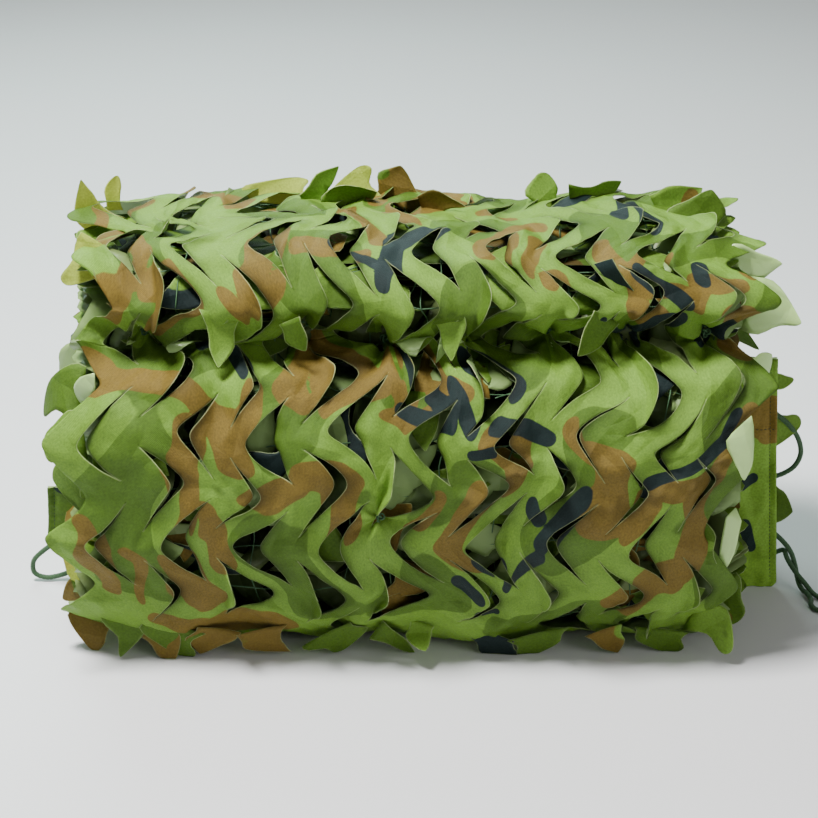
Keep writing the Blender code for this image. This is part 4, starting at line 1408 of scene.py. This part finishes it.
def mesh_lines(wrap):
    """Cords of the support mesh: straight ones along and across the cloth that soft noise
    bends a little, and short slack ones on parabolas."""
    half = CLOTH_WIDTH / 2 - MESH_SHORT
    run = np.arange(6 * MM, wrap.last_cut, MESH_STEP)
    q = np.linspace(-half, half, MESH_UPRIGHTS)[:, None] + 0 * run
    s = run + 0 * q
    off = -MESH_DEPTH + 2 * MM * ripple(q, s, 0.06, 71)
    along = behind_wrap(wrap, q + MESH_BENT * ripple(q, s, 0.09, 72), s, off)
    run = np.arange(-half, half, MESH_STEP)
    s = np.arange(MESH_CELL / 2, wrap.last_cut, MESH_CELL)[:, None] + 0 * run
    q = run + 0 * s
    off = -MESH_DEPTH - 0.9 * MM + 2 * MM * ripple(q, s, 0.06, 73)
    across = behind_wrap(wrap, q, s + MESH_BENT * ripple(q, s, 0.09, 74), off)
    chance = np.random.default_rng(75)
    share = np.linspace(0, 1, 12)
    start_q, start_s, turn, long, sag = (
        chance.uniform(*span, (SLACK_ENDS, 1))
        for span in ((-half, half), (0.1, 1.35), (0, math.pi), (25, 60), (3, 9)))
    q = np.clip(start_q + long * MM * np.cos(turn) * share, -half, half)
    s = start_s * wrap.lacing + long * MM * np.sin(turn) * share
    slack = behind_wrap(wrap, q, s, -8 * MM - 4 * sag * MM * share * (1 - share))
    return along, across, slack


def lacing_line(wrap):
    """The lacing cord: along the lacing line, out at each tie and in between them."""
    ties = np.array(TIES[:LACED])[:, 0] * MM
    x = np.linspace(ties[0] - LACING_PAST[0], ties[-1] + LACING_PAST[1], 220)
    near = np.min(np.abs(x - ties[:, None]), axis=0)
    s = wrap.lacing + 2 * MM * ripple(x, 0 * x, 0.05, 76)
    off = -LACING_DEPTH - 5 * MM * ease(2 * MM, 22 * MM, near) + wrap.swell(x, s)
    return wrap.place(x, s, off)[None]


def knot_lines(wrap):
    """A trefoil knot at each tie: (sin a + 2 sin 2a, -sin 3a, cos a - 2 cos 2a)."""
    a = np.linspace(0, 2 * math.pi, 40)
    shape = np.stack([np.sin(a) + 2 * np.sin(2 * a), -np.sin(3 * a),
                      np.cos(a) - 2 * np.cos(2 * a)], -1) * KNOT
    x, s = np.array(TIES).T[:2] * MM
    s = wrap.lacing + s
    return wrap.place(x, s, wrap.swell(x, s) - KNOT_DEPTH)[:, None, :] + shape


# ---------------- ropes

BRAID_SIDES = 20
BRAID_CORE, BRAID_RISE = 0.80, 0.22  # of the rope's radius: under the strands, and over them
BRAID_STEP = 0.55 * MM  # between the rings of a rope


def transported_frames(line):
    """Two directions across a line at each point, carried along it without twisting."""
    along = unit(np.gradient(line, axis=0))
    side = np.cross(along[0], (0.3, 0.2, 1.0))
    sides = []
    for direction in along:
        side = unit(side - direction * side.dot(direction))
        sides.append(side)
    sides = np.array(sides)
    return sides, np.cross(along, sides)


def braided_tube(line, radius, pitch):
    """Surface of a braided rope: at angle a and length t it lies off the line by radius
    times BRAID_CORE + BRAID_RISE h(a, t), where h is the higher of two crossing sets of
    four strands, each a half sine across. Gives points, faces, flat places, h and the line
    of points along its middle."""
    length = arc_keys(line)[-1]
    at = np.linspace(0, length, round(length / BRAID_STEP))
    line = read_at(line, at)
    first, second = transported_frames(line)
    j = np.arange(BRAID_SIDES)
    k = (j + 1) % BRAID_SIDES
    a, t = np.meshgrid(j / BRAID_SIDES * 2 * math.pi, at, indexing="xy")
    one = 4 * a / (2 * math.pi) + t / pitch
    two = 4 * a / (2 * math.pi) - t / pitch
    over = 0.5 + 0.5 * np.sin(math.pi * (one + two)) * np.sin(math.pi * (one - two))
    height = np.maximum(
        np.abs(np.sin(math.pi * one)) * (0.55 + 0.45 * over),
        np.abs(np.sin(math.pi * two)) * (1.0 - 0.45 * over),
    )
    size = radius * (BRAID_CORE + BRAID_RISE * height)
    ring = (
        line[:, None, :]
        + (size * np.cos(a))[..., None] * first[:, None, :]
        + (size * np.sin(a))[..., None] * second[:, None, :]
    )
    points = np.concatenate([ring.reshape(-1, 3), line[:1], line[-1:]])
    i = np.arange(len(at) - 1)[:, None] * BRAID_SIDES
    walls = np.stack([i + j, i + k, i + BRAID_SIDES + k, i + BRAID_SIDES + j], -1).reshape(-1, 4)
    start = len(at) * BRAID_SIDES
    last = start - BRAID_SIDES
    caps = [(start, c, b) for b, c in zip(j.tolist(), k.tolist())]
    caps += [(start + 1, last + b, last + c) for b, c in zip(j.tolist(), k.tolist())]
    flat = np.stack([a * radius, t], -1).reshape(-1, 2)
    flat = np.concatenate([flat, flat[:1], flat[-1:]])
    raised = np.concatenate([height.ravel(), [0.5, 0.5]])
    return points, walls.tolist() + caps, flat, raised, line


def twisted(start):
    """Points that wind three quarters of a turn round the bight's axis, in mm, from a
    starting angle in degrees."""
    centre = curve_through(BIGHT_AXIS, TWIST_POINTS)
    along = unit(np.gradient(centre, axis=0))
    flat = unit(np.cross(along, (0.0, 0.0, 1.0)))
    upright = np.cross(flat, along)
    angle = np.radians(np.linspace(start, start + 270, TWIST_POINTS))[:, None]
    return (centre + TWIST_RADIUS * (np.cos(angle) * flat + np.sin(angle) * upright)) / MM


def bight_route():
    return [*BIGHT_UPPER, *twisted(90), *BIGHT_END, *twisted(270)[::-1], *BIGHT_LOWER]


def make_rope(name, route, border, material):
    rope = braided_tube(smooth_route(route), ROPE / 2, border.braid_pitch)
    points, faces, flat, raised, path = rope
    made = make_object(name + "_braid", points, faces, [material])
    set_flat(made, flat)
    set_values(made, "raised", raised)
    settle(made, "rope", name)


# ---------------- operators

SENSOR = 36.0
CAMERA_SHIFT = (-5.0 / IMAGE_SIDE, 44.0 / IMAGE_SIDE)
CLIP_START = 0.05
FLOOR_REACH = 14.0
LIGHTS = (  # name, width, place, point that it faces and colour
    ("key", 0.4, (-0.5, -0.2, 1.8), (0, 0, 0.15), (1.0, 1.0, 1.0)),
    ("back", 1.2, (-0.6, 1.5, 1.6), (0, 0, 0.2), (0.74, 1.0, 0.96)),
    ("fill", 1.2, (1.7, -1.4, 1.1), (0, 0, 0.15), (1.0, 1.0, 1.0)),
)


class NETTING_OT_stage(bpy.types.Operator):
    """Adds the camera, the floor and the soft studio light"""

    bl_idname = "netting.stage"
    bl_label = "Stage"

    def execute(self, context):
        stage = context.scene.netting_stage
        link = context.scene.collection.objects.link
        tilt = stage.elevation
        camera = bpy.data.objects.new("camera", bpy.data.cameras.new("camera"))
        camera.data.lens = stage.lens
        camera.data.sensor_width = SENSOR
        camera.data.shift_x, camera.data.shift_y = CAMERA_SHIFT
        camera.data.clip_start = CLIP_START
        camera.location = (
            0.0, -stage.distance * math.cos(tilt),
            stage.target_height + stage.distance * math.sin(tilt),
        )
        camera.rotation_euler = (math.pi / 2 - tilt, 0.0, 0.0)
        link(camera)
        context.scene.camera = camera
        turns = ((-1, -1), (1, -1), (1, 1), (-1, 1))
        corners = [(x * FLOOR_REACH, y * FLOOR_REACH, 0) for x, y in turns]
        floor = make_object("floor", corners, [(0, 1, 2, 3)], [floor_material(stage.floor_color)])
        for name, width, place, aim, color in LIGHTS:
            data = bpy.data.lights.new(name, "AREA")
            data.energy = getattr(stage, name + "_power")
            data.size = width
            data.color = color
            lamp = bpy.data.objects.new(name, data)
            lamp.location = place
            direction = Vector(aim) - Vector(place)
            lamp.rotation_euler = direction.to_track_quat("-Z", "Y").to_euler()
            link(lamp)
        world = bpy.data.worlds.new("studio")
        world.use_nodes = True
        sky = world.node_tree.nodes["Background"]
        sky.inputs["Color"].default_value = (1.0, 1.0, 1.0, 1.0)
        sky.inputs["Strength"].default_value = stage.sky
        context.scene.world = world
        return {"FINISHED"}


class NETTING_OT_ropes(bpy.types.Operator):
    """Adds the three loops of the border rope"""

    bl_idname = "netting.ropes"
    bl_label = "Border rope"

    def execute(self, context):
        border = context.scene.netting_border
        material = rope_material(border.rope_color)
        make_rope("rope_loop_left", LEFT_LOOP, border, material)
        make_rope("rope_loop_right", RIGHT_LOOP, border, material)
        make_rope("rope_bight_right", bight_route(), border, material)
        return {"FINISHED"}


def cloth_materials(cloth, *printed):
    """The materials of a cloth: its printed side, its reverse and its cut edges."""
    return [cloth_print_material(cloth, *printed), cloth_reverse_material(cloth),
            cut_edge_material(cloth)]


def add_cut_cloth(name, strips, materials, thickness, offset, print_at, painted_shade_at=None):
    """Adds a cloth from its strips of points.

    Its print comes from a function of the place on the cloth, and its painted shade from the
    slits or, where it is given, from a function of its points."""
    points, across, rows, edge, shade, cut = strips
    verts, faces, used = join_strips(points, cut)
    made = make_object(name, verts, faces, materials)
    s = rows.ravel()[used]
    q = flat_across(across.ravel()[used], s)
    deep = painted_shade_at(verts) if painted_shade_at else shade.ravel()[used]
    dress_cloth(made, q, s, edge.ravel()[used], print_at(q, s), deep)
    thicken(made, thickness, offset)
    settle(made, "camo_cloth", "folded_net")
    return made


class NETTING_OT_cloth(bpy.types.Operator):
    """Adds the leaf-cut cloth: the outer wrap, the layers inside it and the loose leaves"""

    bl_idname = "netting.cloth"
    bl_label = "Leaf-cut cloth"

    def execute(self, context):
        cloth = context.scene.netting_cloth
        mats = cloth_materials(cloth)
        # The inner layers' reverse is darkened to half with painted shade, as if in the bundle's
        # shadow.
        inner = [cloth_print_material(cloth, "camo_print_inner", 0.1),
                 cloth_reverse_material(cloth, "camo_reverse_inner", 0.1, 0.5), mats[2]]
        wrap = Wrap()
        whole = wrap_points(wrap, cloth)
        middle = int(np.searchsorted(whole[2][0, 0], wrap.lacing))
        for name, part in (("outer_wrap_top", slice(0, middle + 1)),
                           ("outer_wrap_front", slice(middle, None))):
            strips = (whole[0][:, :, part], *(array[..., part] for array in whole[1:]))
            made = add_cut_cloth(name, strips, mats, cloth.thickness, -1.0, wrap_print)
        for ply in range(len(PLIES)):
            strips = layer_points(wrap, cloth, ply)
            # Inner layers: their painted shade darkens them by how deep they lie in the bundle.
            made = add_cut_cloth(
                f"inner_layers_{ply + 1}", strips, inner, cloth.thickness, 0.0,
                lambda q, s: print_fields(q, s, 80 + 10 * ply), painted_inner_shade)
        tables = {**LOOSE_LEAVES, **outer_leaves()}
        groups = [(name, 0.0, mats, leaves, *leaf_points(leaves)) for name, leaves in tables.items()]
        groups.append(("hidden", HIDDEN_SHADE, inner, *hidden_leaves(wrap)))
        for name, deep, materials, leaves, points, q, s, edge, kinds in groups:
            count, columns, rows = points.shape[:3]
            faces = grid_faces(columns, rows) + np.arange(count)[:, None, None] * columns * rows
            made = make_object(
                "loose_leaves_" + name, points.reshape(-1, 3), faces.reshape(-1, 4), materials)
            fields, thin = leaf_print(kinds, q, s)
            dress_cloth(made, q, s, edge, fields, deep, thin)
            thicken(made, cloth.thickness, 0.0)
            settle(made, "camo_cloth", "folded_net")
        return {"FINISHED"}


class NETTING_OT_mesh(bpy.types.Operator):
    """Adds the support mesh behind the cloth and the lacing with its knots"""

    bl_idname = "netting.mesh"
    bl_label = "Support mesh and lacing"

    def execute(self, context):
        border = context.scene.netting_border
        wrap = Wrap()
        cord = thread_material("mesh_cord", border.mesh_color)
        along, across, slack = mesh_lines(wrap)
        for name, lines, thickness, sides in (
            ("support_mesh_along", along, border.mesh_cord, 5),
            ("support_mesh_across", across, border.mesh_cord, 5),
            ("support_mesh_slack", slack, border.mesh_cord, 5),
            ("lacing_cord", lacing_line(wrap), LACING_CORD, 8),
            ("lacing_knots", knot_lines(wrap), LACING_CORD / 1.3, 7),
        ):
            verts, faces = tubes(lines, thickness / 2, sides)
            settle(make_object(name, verts, faces, [cord]), "rope")
        return {"FINISHED"}


class NETTING_OT_bands(bpy.types.Operator):
    """Adds the border bands with their stitches"""

    bl_idname = "netting.bands"
    bl_label = "Border bands"

    def execute(self, context):
        cloth, border = context.scene.netting_cloth, context.scene.netting_border
        mats = cloth_materials(cloth, "band_print")
        thread = thread_material("band_thread", border.thread_color)
        for name, *sizes in BANDS:
            x, y, z, s, from_edge = band_points(*(size * MM for size in sizes))
            points = np.stack([x, y, z], -1)
            made = make_object(
                f"border_band_{name}_cloth", points.reshape(-1, 3), grid_faces(*x.shape), mats)
            pale, *fields = (
                capsule_field(x.ravel(), z.ravel(), BAND_PRINT[name].get(key, ()), 2.0)
                for key in ("pale", "mid_green", "brown", "slate"))
            # The bands' painted light and the pale places of their print go in as painted shade
            # below zero.
            dress_cloth(made, x.ravel(), s.ravel(), np.full(x.size, 1.0), fields,
                        -BAND_PAINTED_LIGHT[name] - BAND_PALE * np.clip(0.5 + pale, 0, 1))
            thicken(made, BAND_CLOTH, 0.0)
            settle(made, "band_cloth", "border_band_" + name)
            hem = int(np.abs(from_edge[:, 0] - BAND_HEM).argmin())
            stitched = [stitch_row(points[hem, : BAND_ROWS - 2], border.stitch)]
            if name == "right":
                level = int(np.abs(z[0, :BAND_ROWS] - BAND_SEAM - SEAM_STITCHES).argmin())
                stitched.append(stitch_row(points[:, level], border.stitch))
            verts, faces = tubes(np.concatenate(stitched), STITCH_THREAD / 2)
            made = make_object(f"border_band_{name}_stitches", verts, faces, [thread])
            settle(made, "band_cloth")
        return {"FINISHED"}


class NETTING_PT_panel(bpy.types.Panel):
    """Lists the pieces of the bundle"""

    bl_idname = "NETTING_PT_panel"
    bl_label = "Camouflage netting"
    bl_space_type = "VIEW_3D"
    bl_region_type = "UI"
    bl_category = "Netting"

    def draw(self, context):
        column = self.layout.column()
        for operator in OPERATORS:
            column.operator(operator.bl_idname)
        for group in GROUPS:
            box = self.layout.box()
            for name in GROUPS[group].__annotations__:
                box.prop(getattr(context.scene, group), name)


GROUPS = {
    "netting_cloth": NettingCloth, "netting_border": NettingBorder,
    "netting_stage": NettingStage,
}
OPERATORS = (
    NETTING_OT_stage, NETTING_OT_ropes, NETTING_OT_cloth, NETTING_OT_mesh, NETTING_OT_bands,
)


def register():
    for made in (*GROUPS.values(), *OPERATORS, NETTING_PT_panel):
        bpy.utils.register_class(made)
    for name, group in GROUPS.items():
        setattr(bpy.types.Scene, name, bpy.props.PointerProperty(type=group))


def unregister():
    for name in GROUPS:
        delattr(bpy.types.Scene, name)
    for made in (NETTING_PT_panel, *reversed(OPERATORS), *reversed(GROUPS.values())):
        bpy.utils.unregister_class(made)


def main():
    register()
    bpy.ops.netting.stage()
    bpy.ops.netting.ropes()
    bpy.ops.netting.cloth()
    bpy.ops.netting.mesh()
    bpy.ops.netting.bands()
    bpy.context.view_layer.update()


if __name__ == "__main__":
    main()
